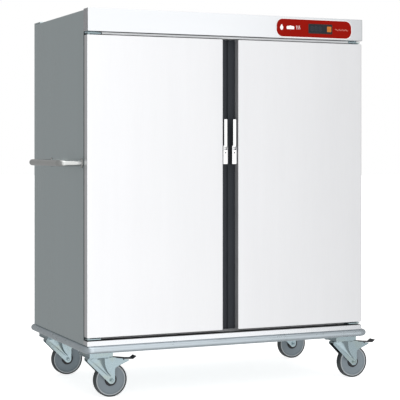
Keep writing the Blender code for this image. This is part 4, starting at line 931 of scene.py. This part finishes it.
class CABINET_OT_doors(bpy.types.Operator):
    """Makes both doors: outer sheet, inner liner, seal and meeting strip"""

    bl_idname = "cabinet.doors"
    bl_label = "Doors"

    def execute(self, context):
        for name, side in SIDES:
            self.sheet(name, context.scene.cabinet_sizes)
            self.trim(name, side)
            self.liner(name)
            self.seal(name)
            self.strip(name, side, context.scene.cabinet_sizes)
        return {"FINISHED"}

    def sheet(self, name, sizes):
        node = f"{name}_door_skin"
        low, high = corners(node)
        outline = rect(*side_outline(node, "Y"), sizes.corner)
        shell = tray(outline, low[1], high[1], "Y", sizes.sheet, sizes.fold)
        add(f"{name}_door_sheet", shell, finish_of("door_steel"), f"{name}_door", [node])

    def trim(self, name, side):
        """A thin dark strip on the door edge that faces the other door: painted shade in the recess between
        the doors.
        """
        low, high = corners(f"{name}_door_skin")
        strip_low = corners(f"{name}_meeting_profile")[0]
        edge = high[0] if side < 0 else low[0]
        x0, x1 = sorted((edge - side * 0.0003, edge + side * 0.0004))
        trim_low = (x0, low[1] + 0.003, low[2] + 0.002)
        trim_high = (x1, strip_low[1] + 0.0035, high[2] - 0.002)
        shell = block(trim_low, trim_high, 0.0001, axis="X", steps=1)
        add(f"{name}_door_shade_trim", shell, finish_of("edge_trim"), f"{name}_door")

    def liner(self, name):
        """The inner panel: a flat border, then a pressed step down to a sunk middle."""
        node = f"{name}_door_inner_panel"
        low, high = corners(node)
        outline = rect(*side_outline(node, "Y"), 0.0025)
        back = high[1]
        step = np.linspace(0, pi, 7)
        pressed = zip(0.052 + 0.008 * step / pi, back - 0.0015 * (1 - np.cos(step)), 0.6 * np.sin(step))
        levels = fold(low[1], back, 0.0008, 2) + fold(back, low[1], 0.0012, 3)[::-1] + list(pressed)
        shell = stack(outline, [*levels, (0.075, back - 0.003, 0.0)], "Y")
        add(f"{name}_door_liner", shell, finish_of("door_liner"), f"{name}_door", [node])

    def seal(self, name):
        """A magnetic seal: a bellows section carried round the door's edge."""
        node = f"{name}_door_gasket"
        low, high = corners(node)
        half = 0.007
        depth = high[1] - low[1]
        section = [
            (-0.0040, 0.0), (0.0040, 0.0), (0.0044, 0.16), (0.0030, 0.24), (0.0052, 0.36), (0.0062, 0.46),
            (0.0044, 0.56), (0.0064, 0.66), (half, 0.80), (0.0064, 0.95), (0.0052, 1.0),
            (-0.0052, 1.0), (-0.0064, 0.95), (-half, 0.80), (-0.0064, 0.66), (-0.0044, 0.56),
            (-0.0062, 0.46), (-0.0052, 0.36), (-0.0030, 0.24), (-0.0044, 0.16),
        ]
        profile = np.array(section) * (1, depth)
        path = bent(upright_ring(low + half, high - half, low[1]), 0.0072, 5, closed=True)
        shell = carried(path, profile, (0, 1, 0), closed=True)
        add(f"{name}_door_seal", shell, finish_of("gasket"), f"{name}_door", [node])

    def strip(self, name, side, sizes):
        """The meeting strip: a flat profile with a front lip and three shallow grooves, drawn out upwards."""
        node = f"{name}_meeting_profile"
        low, high = corners(node)
        near, far = (high[0], low[0]) if side < 0 else (low[0], high[0])
        lip, groove = 0.004, sizes.groove
        front, face, back = low[1], low[1] + lip, high[1]
        marks = [0.010, 0.0225, 0.034]
        shape = [(near, back), (near, front + 0.001), (near + side * 0.001, front)]
        shape += [(near + side * lip, front), (near + side * lip, face)]
        for mark in marks:
            x = near + side * mark
            shape += [(x, face), (x + side * 0.0004, face + groove), (x + side * 0.0014, face + groove)]
            shape += [(x + side * 0.0018, face)]
        shape += [(far, face), (far, back)]
        shell = plate(shape, low[2], high[2], "Z", 0.0002, 1)
        add(f"{name}_meeting_strip", shell, finish_of("strip"), f"{name}_door", [node])


class CABINET_OT_handles(bpy.types.Operator):
    """Makes each door's handle: a base with its screw, and the lever on its pin"""

    bl_idname = "cabinet.handles"
    bl_label = "Door handles"

    def execute(self, context):
        for name, _ in SIDES:
            self.base(name)
            self.lever(name)
        return {"FINISHED"}

    def base(self, name):
        low, high = corners(f"{name}_handle_base")
        lever_low, lever_high = corners(f"{name}_handle_lever")
        floor = lever_low[2] - 0.0006
        shell = block(low, high, 0.0022, 0.0035, "Z", 4)
        play = 0.0006
        channel_low = (lever_low[0] - play, low[1] - 0.01, floor)
        channel_high = (lever_high[0] + play, lever_high[1] + 0.0018, high[2] + 0.01)
        pin = lathe([(0.0024, 0), (0.0024, high[0] - low[0] - 0.003)], (low[0] + 0.0015, 0, 0), "X", 24)
        pin = pin.moved((0, lever_high[1] - 0.0085, lever_low[2] + 0.0085))
        shell = cut(shell, block(channel_low, channel_high, 0.0006, axis="Z", steps=2))
        shell = combined(shell, pin, "UNION")
        add(f"{name}_handle_mount", shell, finish_of("chrome"), f"{name}_door",
            [f"{name}_handle_base"])
        centre = ((low[0] + high[0]) / 2, low[1], low[2] + 0.055)
        screw = screw_head((centre[0], centre[1] + 0.0002, centre[2]), "Y", -1, 0.0036, 0.0014)
        add(f"{name}_handle_screw", screw, finish_of("black_steel"), f"{name}_door")

    def lever(self, name):
        """A bar with a round end in front, a neck behind it, and a round foot on the pin."""
        low, high = corners(f"{name}_handle_lever")
        boss, bar, edge = 0.0085, 0.009, 0.0035
        pivot = (high[1] - boss, low[2] + boss)
        front, bar_back = low[1], low[1] + bar
        neck_top = low[2] + 0.0545
        outline = np.vstack([
            arc((front + edge, high[2] - edge), edge, 180, 90, 5),
            arc((bar_back - edge, high[2] - edge), edge, 90, 0, 5),
            arc((bar_back + 0.005, neck_top + 0.004), 0.005, 180, 270, 5),
            arc((high[1] - 0.006, neck_top - 0.007), 0.006, 90, 0, 5),
            arc(pivot, boss, 0, -180, 14),
            [(front, low[2] + 0.022)],
        ])
        shell = plate(outline, low[0], high[0], "X", 0.0022, 4)
        add(f"{name}_lever", shell, finish_of("chrome"), f"{name}_lever",
            [f"{name}_handle_lever"])


# ---------------------------------------------------------------- controls


class CABINET_OT_controls(bpy.types.Operator):
    """Makes the control label with its symbols, the display and the key"""

    bl_idname = "cabinet.controls"
    bl_label = "Controls"

    def execute(self, context):
        sizes = context.scene.cabinet_sizes
        low, high = corners("control_overlay")
        front, back = low[1], high[1]
        corner = 0.036
        box_low, box_high = side_outline("control_overlay", "Y")
        window = self.window()

        border = plate(rect(box_low, box_high, corner, 12), front + 0.0003, back, "Y", 0.0002, 1)
        add("label_border", cut(border, window), finish_of("label_ink"), "cabinet")
        inset = sizes.label_border
        field_low = (box_low[0] + inset, box_low[1] + inset)
        field_high = (box_high[0] - inset, box_high[1] - inset)
        field = plate(rect(field_low, field_high, corner - inset, 12), front, front + 0.0006, "Y", 0.0001, 1)
        field = cut(field, window)
        add("label_field", field, finish_of("label"), "cabinet", ["control_overlay"])

        self.symbols(box_low, box_high, front, sizes)
        self.display()
        return {"FINISHED"}

    def window(self):
        """What the controller's face needs clear in the label."""
        low, high = corners("controller")
        x0, x1 = low[0] + PANE_RIM - HAIR, high[0] - PANE_RIM + HAIR
        z0, z1 = low[2] + PANE_RIM - HAIR, high[2] - PANE_RIM + HAIR
        return block((x0, low[1] - 0.003, z0), (x1, low[1] + 0.004, z1), 0.0005, 0.0012, "Y", 2)

    def symbols(self, low, high, front, sizes):
        """Plain printed symbols: a loaf with steam on the left, and a long wave on the right."""
        span, tall = high[0] - low[0], sizes.icon_height
        z = (low[1] + high[1]) / 2 + 0.003
        ink = 0.00012
        thick = 0.0011
        x = low[0] + 0.075 * span
        parts = [self.drop((x - 0.002, z), tall * 0.95, front, ink)]
        loaf_x = x + 0.046
        loaf = np.vstack([
            arc((loaf_x - 0.014, z - 0.001), 0.0075, 180, 60, 8),
            arc((loaf_x, z), 0.0085, 120, 60, 6),
            arc((loaf_x + 0.014, z - 0.001), 0.0075, 120, 0, 8),
            [(loaf_x + 0.0200, z - 0.0095), (loaf_x - 0.0200, z - 0.0095)],
        ])
        parts.append(plate(loaf, front - ink, front + ink, "Y", ink * 0.4, 1))
        for index in range(3):
            start = loaf_x + 0.034 + index * 0.0085
            parts.append(self.wave((start, z - 0.009), 0.018, 0.0017, thick, front, ink, upright=True))
        add("label_symbols", joined(parts), finish_of("label_ink"), "cabinet")
        start = (low[0] + 0.775 * span, z - 0.004)
        wave = self.wave(start, 0.175 * span, 0.0036, 0.0006, front, ink, turns=4)
        add("label_wave", wave, finish_of("soft_ink"), "cabinet")

    def drop(self, centre, tall, front, ink):
        """A water drop: radius r(1 - sin t) across and sin t up, which comes to a point at its top."""
        turn = np.linspace(0, 2 * pi, 33)[:-1]
        half = tall / 2
        across = half * 0.62 * np.cos(turn) * (1 - 0.72 * np.maximum(np.sin(turn), 0) ** 0.8)
        up = half * np.sin(turn)
        outline = np.stack([centre[0] + across, centre[1] + up], -1)
        return plate(outline, front - ink, front + ink, "Y", ink * 0.4, 1)

    def wave(self, start, reach, swing, thick, front, ink, upright=False, turns=1):
        """A printed wave: a sine along its reach, given a width across and a depth of ink."""
        part = np.linspace(0, 1, 12 * turns + 1)
        along, across = reach * part, swing * np.sin(2 * pi * turns * part)
        flat = np.stack([across, along] if upright else [along, across], -1) + start
        path = np.insert(flat, 1, front, axis=1)
        section = np.array([(-thick, -ink), (thick, -ink), (thick, ink), (-thick, ink)])
        return carried(path, section, (0, 1, 0))

    def display(self):
        low, high = corners("controller")
        key_low, key_high = corners("control_key")
        front, rim = low[1], PANE_RIM
        paint(finish_of("bezel"), "controller")
        x0, x1 = low[0] + rim + 0.002, key_low[0] - 0.0035
        z0, z1 = low[2] + rim + 0.0035, high[2] - rim - 0.0035
        pane = block((x0, front - 0.0003, z0), (x1, front + 0.0004, z1), 0.0002, 0.0015, "Y", 2)
        add("display_pane", pane, finish_of("display"), "cabinet")
        digits = []
        for index in range(3):
            digits += self.digit(x0 + 0.016 + index * 0.0225, (z0 + z1) / 2, front - 0.0003)
        add("display_segments", joined(digits), finish_of("segment"), "cabinet")
        path = upright_ring(low + rim - 0.0014, high - rim + 0.0014, front)
        section = rounded((-0.0011, -0.0004), (0.0011, 0.0007), 0.0003, 2)
        ring = carried(bent(path, 0.0025, 4, closed=True), section * (1, -1), (0, 1, 0), closed=True)
        add("display_bezel", ring, finish_of("bezel"), "cabinet")

        shell = block(key_low, key_high, 0.0006, 0.0030, "Y", 3)
        centre = (key_low + key_high) / 2
        tools = [
            block((key_low[0] - 0.001, key_low[1] - 0.001, centre[2] - 0.0011),
                  (key_high[0] + 0.001, key_low[1] + 0.0012, centre[2] + 0.0011), 0.0002, axis="X", steps=1)
        ]
        for way in (-1, 1):
            z = centre[2] + way * 0.0066
            arrow = [(centre[0] - 0.0038, z - way * 0.0020), (centre[0], z + way * 0.0022)]
            arrow += [(centre[0] + 0.0038, z - way * 0.0020), (centre[0], z - way * 0.0004)]
            tools.append(plate(arrow, key_low[1] - 0.001, key_low[1] + 0.0004, "Y", 0.0001, 1))
        add("key_cap", cut(shell, *tools), finish_of("key"), "key", ["control_key"])

    def digit(self, x, z, front):
        """The seven unlit bars of one figure."""
        wide, tall, bar, ink = 0.0052, 0.0105, 0.0011, 0.0001
        flat = [(x, z + tall), (x, z), (x, z - tall)]
        upright = [(x + sx * (wide + bar), z + sz * tall / 2) for sx in (-1, 1) for sz in (-1, 1)]
        made = [((cx - wide + bar, cz - bar), (cx + wide - bar, cz + bar)) for cx, cz in flat]
        reach = tall / 2 - 2 * bar
        made += [((cx - bar, cz - reach), (cx + bar, cz + reach)) for cx, cz in upright]
        return [plate(rect(a, b, bar * 0.8, 2), front - ink, front + ink, "Y", ink * 0.4, 1) for a, b in made]


# ---------------------------------------------------------------- castors


class CABINET_OT_castors(bpy.types.Operator):
    """Makes the four castors: plate and bolts, pressed fork, axle, wheel and, in front, the brake pedal"""

    bl_idname = "cabinet.castors"
    bl_label = "Castors"

    def execute(self, context):
        sizes = context.scene.cabinet_sizes
        zinc = finish_of("zinc")
        ready = {}
        for end in ENDS:
            for side, _ in SIDES:
                name = f"{end}_{side}"
                plate_middle, wheel_middle = middle(f"{name}_castor_plate"), middle(f"{name}_wheel")
                swivel = np.array([plate_middle[0], plate_middle[1], 0.0])
                if not ready:
                    ready["plate"] = self.top_plate(name, swivel)
                    ready["wheel"] = self.wheel(name, wheel_middle, sizes)
                    ready["axle"] = self.axle(name, wheel_middle)
                if end not in ready:
                    ready[end] = self.fork(name, swivel, wheel_middle)
                fork, wheel = f"{name}_caster_fork", f"{name}_caster_wheel"
                flat, pressed = ready["plate"].moved(swivel), ready[end].moved(swivel)
                add(f"{name}_top_plate", flat, zinc, "cabinet", [f"{name}_castor_plate"])
                add(f"{name}_pressed_fork", pressed, zinc, fork, [f"{name}_fork"])
                bolt = ready["axle"].moved(wheel_middle)
                add(f"{name}_axle_bolt", bolt, zinc, fork, [f"{name}_axle"])
                disc, ring, tyre, cap = (part.moved(wheel_middle) for part in ready["wheel"])
                grey = finish_of("wheel_disc")
                add(f"{name}_wheel_disc", disc, grey, wheel, [f"{name}_wheel"])
                add(f"{name}_wheel_ring", ring, finish_of("wheel_ring"), wheel)
                add(f"{name}_tyre", tyre, finish_of("tyre"), wheel)
                add(f"{name}_bearing_cap", cap, finish_of("black_plastic"), wheel)
        for side, _ in SIDES:
            self.pedal(side)
        return {"FINISHED"}

    def top_plate(self, name, swivel):
        """The plate, its four bolts on washers, and the king pin with its nut, about the swivel axis."""
        low, high = corners(f"{name}_castor_plate")
        low, high = low - swivel, high - swivel
        top, thick = high[2], 0.006
        parts = [block((low[0], low[1], top - thick), (high[0], high[1], top), 0.0012, 0.010, "Z", 3)]
        under = top - thick
        for x in (-0.040, 0.040):
            for y in (-0.0525, 0.0525):
                washer = [(0.0105, 0.0005), (0.0105, -0.0010), (0.0100, -0.0014)]
                head = [(0.0082, -0.0010), (0.0082, -0.0045), (0.0074, -0.0050)]
                parts.append(lathe(washer, (x, y, under), "Z", 32))
                parts.append(lathe(head, (x, y, under), "Z", 6, turn=0.35 * x / 0.04))
        pin = [(0.0058, 0.0005), (0.0058, low[2] - under + 0.0008), (0.0050, low[2] - under)]
        nut_top = low[2] + 0.0117 - under
        nut = [(0.0100, 0), (0.0110, -0.0012), (0.0110, -0.0075), (0.0098, -0.0088)]
        parts.append(lathe(pin, (0, 0, under), "Z", 32))
        parts.append(lathe(nut, (0, 0, under + nut_top), "Z", 6))
        return welded(parts)

    def fork(self, name, swivel, wheel_middle):
        """Two cheeks under a deck with the swivel race on it, bulged round it; a braked one has long arms."""
        low, high = corners(f"{name}_fork")
        hub = corners(f"{name}_wheel")
        low, high = low - swivel, high - swivel
        axle = (wheel_middle - swivel)[[0, 2]]
        cheek, boss = 0.003, 0.018
        half = (hub[1][1] - hub[0][1]) / 2 + 0.0015 + cheek
        deck_top, deck_bottom = 0.1875, 0.180
        reach = high[0]
        tip = [(reach, 0.156), (reach, 0.183)]
        if name.startswith("front"):
            tip = [(reach, 0.1665), (reach - 0.001, 0.1715)]
        outline = np.vstack([
            tip,
            [(0.086, deck_top)],
            arc((low[0] + 0.006, deck_top - 0.006), 0.006, 90, 180, 5),
            [(low[0], deck_bottom - 0.006)],
            arc(axle, boss, 218, 358, 18),
            arc((axle[0] + 0.036, 0.125), 0.018, 180, 118, 6),
        ])
        parts = []
        for way in (-1, 1):
            parts.append(plate(outline, way * (half - cheek), way * half, "Y", 0.0007, 2))
        deck_low = (low[0] + 0.001, -half + 0.0004, deck_bottom)
        deck_high = (0.0845, half - 0.0004, deck_top - 0.0004)
        deck = block(deck_low, deck_high, 0.0010, 0.006, "Z", 3)
        race = [(0.0330, deck_bottom + 0.001), (0.0350, deck_top + 0.0005), (0.0365, deck_top + 0.0016)]
        race += [(0.0365, deck_top + 0.0034), (0.0350, deck_top + 0.0048), (0.0335, deck_top + 0.0060)]
        parts += [deck, lathe(race, (0, 0, 0), "Z", 64)]
        bulge = self.bulge(low[0] + 0.003, axle, half, deck_top - 0.001)
        shell = welded([*parts, bulge, bulge.mirrored(1)])
        bore = lathe([(0.0064, 0.15), (0.0064, 0.22)], (0, 0, 0), "Z", 32)
        hole = lathe([(0.0050, -0.05), (0.0050, 0.05)], (axle[0], 0, axle[1]), "Y", 32)
        return cut(shell, bore, hole)

    def bulge(self, left, axle, half, top):
        """A pressed bulge: at each height half a sine arch across the cheek, which fades above the axle."""
        fall = np.linspace(0, 1, 15)
        start = left + (axle[0] - 0.013 - left) * fall
        end = 0.043 + (axle[0] + 0.004 - 0.043) * fall**3
        height = top + (axle[1] + 0.016 - top) * fall
        depth = 0.0085 * (1 - fall) ** 0.35 + 0.0004
        part = np.linspace(0, 1, 21)
        arch = np.sin(pi * part) ** 0.8
        front = np.empty((len(fall), len(part), 3))
        front[..., 0] = start[:, None] + (end - start)[:, None] * part
        front[..., 1] = half - 0.0012 + depth[:, None] * arch
        front[..., 2] = height[:, None]
        back = front[:, [-1, 0]].copy()
        back[..., 1] = half - 0.0024
        return skin_rings(np.concatenate([front, back], 1))

    def axle(self, name, wheel_middle):
        """A bolt with a hexagon nut and a washer at each end, about the wheel's middle."""
        end = corners(f"{name}_axle")[1][1] - wheel_middle[1]
        radius = 0.0046
        bolt = [(radius * 0.8, -end), (radius, -end + 0.001), (radius, end - 0.001), (radius * 0.8, end)]
        parts = [lathe(bolt, (0, 0, 0), "Y", 32)]
        for way in (-1, 1):
            inner, outer = way * (end - 0.010), way * (end - 0.003)
            face = way * 0.0012
            nut = [(0.0066, inner), (0.0083, inner + face), (0.0083, outer - face), (0.0064, outer)]
            washer = [(0.0105, inner), (0.0105, inner + way * 0.0010), (0.0100, inner + way * 0.0014)]
            parts += [lathe(nut, (0, 0, 0), "Y", 6, turn=0.3), lathe(washer, (0, 0, 0), "Y", 32)]
        return welded(parts)

    def wheel(self, name, wheel_middle, sizes):
        """Turned halves mirrored about the wheel's plane: disc, ring inside the tyre, tyre, bearing cap."""
        low, high = corners(f"{name}_wheel")
        radius, half, hub = (high[2] - low[2]) / 2, 0.0168, (high[1] - low[1]) / 2 - HAIR
        seat = radius - sizes.tread
        ring_in = seat - sizes.ring
        sides = sizes.turns

        def turned(upper):
            upper = np.array(upper, float)
            lower = upper[::-1] * (1, -1)
            return lathe(np.vstack([upper, lower]), (0, 0, 0), "Y", sides, ring=True)

        def on_both_faces(profile):
            ways = [np.array(profile) * (1, way) for way in (-1, 1)]
            return joined(lathe(faced, (0, 0, 0), "Y", sides, ring=True) for faced in ways)

        turn = np.linspace(0, pi / 2, 7)
        tread = [(seat, half - 0.0035), (seat + 0.0012, half - 0.0004)]
        tread += list(zip(radius - 0.0030 + 0.0030 * np.sin(turn), half - 0.0036 + 0.0034 * np.cos(turn)))
        tread += [(radius, half - 0.0085)]
        disc = [
            (0.0051, hub), (0.0150, hub), (0.0165, hub - 0.0010), (0.0172, hub - 0.004), (0.0205, 0.0118),
            (0.0260, 0.0098), (0.0400, 0.0092), (0.0540, 0.0104), (0.0610, 0.0122),
            (ring_in - 0.0024, 0.0136), (ring_in - 0.0004, 0.0150), (ring_in, 0.0142),
            (seat - 0.0002, 0.0132),
        ]
        ring = [(ring_in, 0.0138), (ring_in + 0.0006, 0.0160), (ring_in + 0.0016, 0.0166)]
        ring += [(seat - 0.0012, 0.0162), (seat - 0.0002, 0.0150), (seat - 0.0002, 0.0128), (ring_in, 0.0128)]
        cap = [(0.0060, hub + 0.0002), (0.0135, hub + 0.0002), (0.0270, hub - 0.0016)]
        cap += [(0.0292, hub - 0.0060), (0.0286, 0.0092), (0.0060, 0.0092)]
        return turned(disc), on_both_faces(ring), turned(tread), on_both_faces(cap)

    def pedal(self, side):
        """A thin sheet along the arms' top edges that turns up at its tip, with a tongue to its pin."""
        node = f"front_{side}_brake_pedal"
        low, high = corners(node)
        y = (low[1] + high[1]) / 2
        x0, z0 = low[0] + 0.018, 0.174
        tip, top, thick = high[0], high[2], 0.0028
        upper = [(x0 - 0.037, 0.1848), (x0 + 0.022, 0.1768), (tip - 0.018, 0.1752)]
        upper += [(tip - 0.0018, top - 0.001)]
        normal = np.array([(0.10, 1.0), (0.08, 1.0), (-0.22, 0.96), (-0.48, 0.86)])
        sheet = np.vstack([upper, (upper - thick * normal)[::-1]])
        tongue = [(x0 - 0.012, 0.1775), (x0 - 0.010, z0 - 0.004), (x0, z0 - 0.006), (x0 + 0.008, z0 - 0.002)]
        tongue += [(x0 + 0.010, 0.1755)]
        parts = [plate(sheet, low[1] + 0.003, high[1] - 0.003, "Y", 0.0007, 2)]
        parts.append(plate(tongue, y - 0.0205, y + 0.0205, "Y", 0.0008, 2))
        pin = [(0.0026, y - 0.0265), (0.0029, y - 0.0260), (0.0029, y + 0.0260), (0.0026, y + 0.0265)]
        parts.append(lathe(pin, (x0, 0, z0), "Y", 24))
        black = finish_of("black_steel")
        add(f"front_{side}_pedal", welded(parts), black, f"front_{side}_brake", [node])


class CABINET_OT_inlet(bpy.types.Operator):
    """Makes the power inlet on the back"""

    bl_idname = "cabinet.inlet"
    bl_label = "Power inlet"

    def execute(self, context):
        low, high = corners("power_inlet")
        centre = (low + high) / 2
        thick = 0.004
        outline = rect(*side_outline("power_inlet", "Y"), 0.008, 6)
        flange = plate(outline, low[1], low[1] + thick, "Y", 0.0008, 3)
        reach = high[1] - low[1]
        collar = [(0.0248, 0.001), (0.0260, thick + 0.0012), (0.0260, reach - 0.0012), (0.0248, reach)]
        collar += [(0.0212, reach), (0.0200, reach - 0.0012), (0.0200, 0.001)]
        ring = lathe(collar, (centre[0], low[1], centre[2]), "Y", 64, ring=True)
        bore = lathe([(0.0200, 0.001), (0.0200, 0.03)], (centre[0], low[1], centre[2]), "Y", 64)
        shell = combined(cut(flange, bore), ring, "UNION")
        parts = []
        for turn in (90, 210, 330):
            x, z = centre[0] + 0.0095 * cos(radians(turn)), centre[2] + 0.0095 * sin(radians(turn))
            pin = [(0.0024, 0.0008), (0.0024, 0.0085), (0.0016, 0.0100)]
            parts.append(lathe(pin, (x, low[1], z), "Y", 20))
        add("inlet_socket", shell, finish_of("black_plastic"), "cabinet", ["power_inlet"])
        add("inlet_pins", joined(parts), finish_of("chrome"), "cabinet")
        spots = [(sx * 0.027, sz * 0.037) for sx in (-1, 1) for sz in (-1, 1)]
        places = [(centre[0] + x, low[1] + thick, centre[2] + z) for x, z in spots]
        screws = joined(screw_head(place, "Y", 1, 0.0034, 0.0014) for place in places)
        add("inlet_screws", screws, finish_of("zinc"), "cabinet")
        return {"FINISHED"}


# ---------------------------------------------------------------- stage


class CABINET_OT_stage(bpy.types.Operator):
    """Makes the floor, the light and the camera"""

    bl_idname = "cabinet.stage"
    bl_label = "Stage"

    def execute(self, context):
        stage = context.scene.cabinet_stage
        context.scene.view_settings.view_transform = "Standard"
        self.floor(stage)
        self.world(context.scene, stage)
        self.lamps()
        self.camera(context.scene, stage)
        return {"FINISHED"}

    def floor(self, stage):
        """A flat disc of rings that widen outwards by a constant ratio."""
        radius = 0.05 * 1.5 ** np.arange(18)
        turn = 2 * pi * np.arange(64) / 64
        points = np.zeros((len(radius), len(turn), 3))
        points[..., 0] = radius[:, None] * np.cos(turn)
        points[..., 1] = radius[:, None] * np.sin(turn)
        points[..., 2] = -0.0005
        data = bpy.data.meshes.new("floor")
        faces = grid(*points.shape[:2]).tolist() + [list(range(64))[::-1]]
        data.from_pydata(points.reshape(-1, 3).tolist(), [], [face[::-1] for face in faces])
        data.materials.append(surface("floor", self.floor_finish, tuple(stage.floor_tone)))
        made = bpy.data.objects.new("floor", data)
        bpy.context.scene.collection.objects.link(made)
        made.visible_glossy = False

    def floor_finish(self, finish, colour):
        """Sealed pale floor with a barely uneven tone."""
        tone = finish.noise(3.0, (1, 1, 1), 4.0)
        return {
            "Base Color": finish.mix(shade(colour, 0.99), shade(colour, 1.01), tone),
            "Roughness": tone * 0.1 + 0.55,
            "Specular IOR Level": 0.2,
            "Emission Color": (1.0, 1.0, 1.0, 1.0),
            "Emission Strength": 0.75,
        }

    def world(self, scene, stage):
        """Plain studio: a wide pale panel in front of the doors, dimmer all round, white behind it all."""
        world = bpy.data.worlds.new("studio")
        world.use_nodes = True
        scene.world = world
        finish = Finish(world.node_tree)
        way = finish.node("ShaderNodeTexCoord", output="Generated")

        def dot(normal):
            both = {0: way, 1: normal}
            return finish.node("ShaderNodeVectorMath", {"operation": "DOT_PRODUCT"}, both, "Value")

        def past(normal, soft):
            """How far a direction lies on one side of an upright plane through the middle."""
            return dot(normal).between(-soft, soft)

        panel = past((-0.862, -0.507, 0.0), 0.09) * past((0.819, -0.574, 0.0), 0.25)
        behind = past((-0.30, 0.95, 0.0), 0.9)
        around = behind * (stage.back_light - stage.side_light) + stage.side_light
        strip = dot((0.0, -1.0, 0.0)).between(0.982, 0.998) * stage.strip_light
        strength = panel * (stage.front_light - stage.side_light) + around + strip
        light = finish.node("ShaderNodeBackground", {}, {"Color": (1.0, 1.0, 1.0, 1.0), "Strength": strength})
        plain = finish.node("ShaderNodeBackground", {}, {"Color": (1.0, 1.0, 1.0, 1.0), "Strength": 1.0})
        seen = finish.node("ShaderNodeLightPath", output="Is Camera Ray")
        mixed = finish.node("ShaderNodeMixShader", {}, {0: seen, 1: light, 2: plain})
        finish.node("ShaderNodeOutputWorld", {}, {"Surface": mixed})

    def lamps(self):
        """One wide soft box overhead for the floor and the top."""
        lamp = bpy.data.lights.new("overhead_box", "AREA")
        lamp.size, lamp.energy = 5.0, 70.0
        made = bpy.data.objects.new("overhead_box", lamp)
        made.location = (0.2, -1.2, 4.8)
        bpy.context.scene.collection.objects.link(made)

    def camera(self, scene, stage):
        data = bpy.data.cameras.new("camera")
        data.lens, data.sensor_width = stage.lens, 36.0
        data.shift_y = stage.rise
        made = bpy.data.objects.new("camera", data)
        made.location = stage.place
        made.rotation_euler = Euler((pi / 2, 0.0, -stage.heading))
        scene.collection.objects.link(made)
        scene.camera = made


# ---------------------------------------------------------------- add-on


STEPS = (
    CABINET_OT_stage,
    CABINET_OT_skins,
    CABINET_OT_front,
    CABINET_OT_inside,
    CABINET_OT_bumper,
    CABINET_OT_push_handle,
    CABINET_OT_doors,
    CABINET_OT_handles,
    CABINET_OT_controls,
    CABINET_OT_castors,
    CABINET_OT_inlet,
)
SETTINGS = {"cabinet_colours": CabinetColours, "cabinet_sizes": CabinetSizes, "cabinet_stage": CabinetStage}


class CABINET_PT_panel(bpy.types.Panel):
    """Lists the settings and the steps that build the cabinet"""

    bl_label = "Proofing Cabinet"
    bl_idname = "CABINET_PT_panel"
    bl_space_type = "VIEW_3D"
    bl_region_type = "UI"
    bl_category = "Cabinet"

    def draw(self, context):
        for name, group in SETTINGS.items():
            column = self.layout.box().column()
            for key in group.__annotations__:
                column.prop(getattr(context.scene, name), key)
        column = self.layout.column(align=True)
        for step in STEPS:
            column.operator(step.bl_idname)


CLASSES = (*SETTINGS.values(), *STEPS, CABINET_PT_panel)


def register():
    for one in CLASSES:
        bpy.utils.register_class(one)
    for name, group in SETTINGS.items():
        setattr(bpy.types.Scene, name, PointerProperty(type=group))


def unregister():
    for name in SETTINGS:
        delattr(bpy.types.Scene, name)
    for one in reversed(CLASSES):
        bpy.utils.unregister_class(one)


def main():
    register()
    for step in STEPS:
        getattr(bpy.ops.cabinet, step.bl_idname.split(".")[1])()


if __name__ == "__main__":
    main()
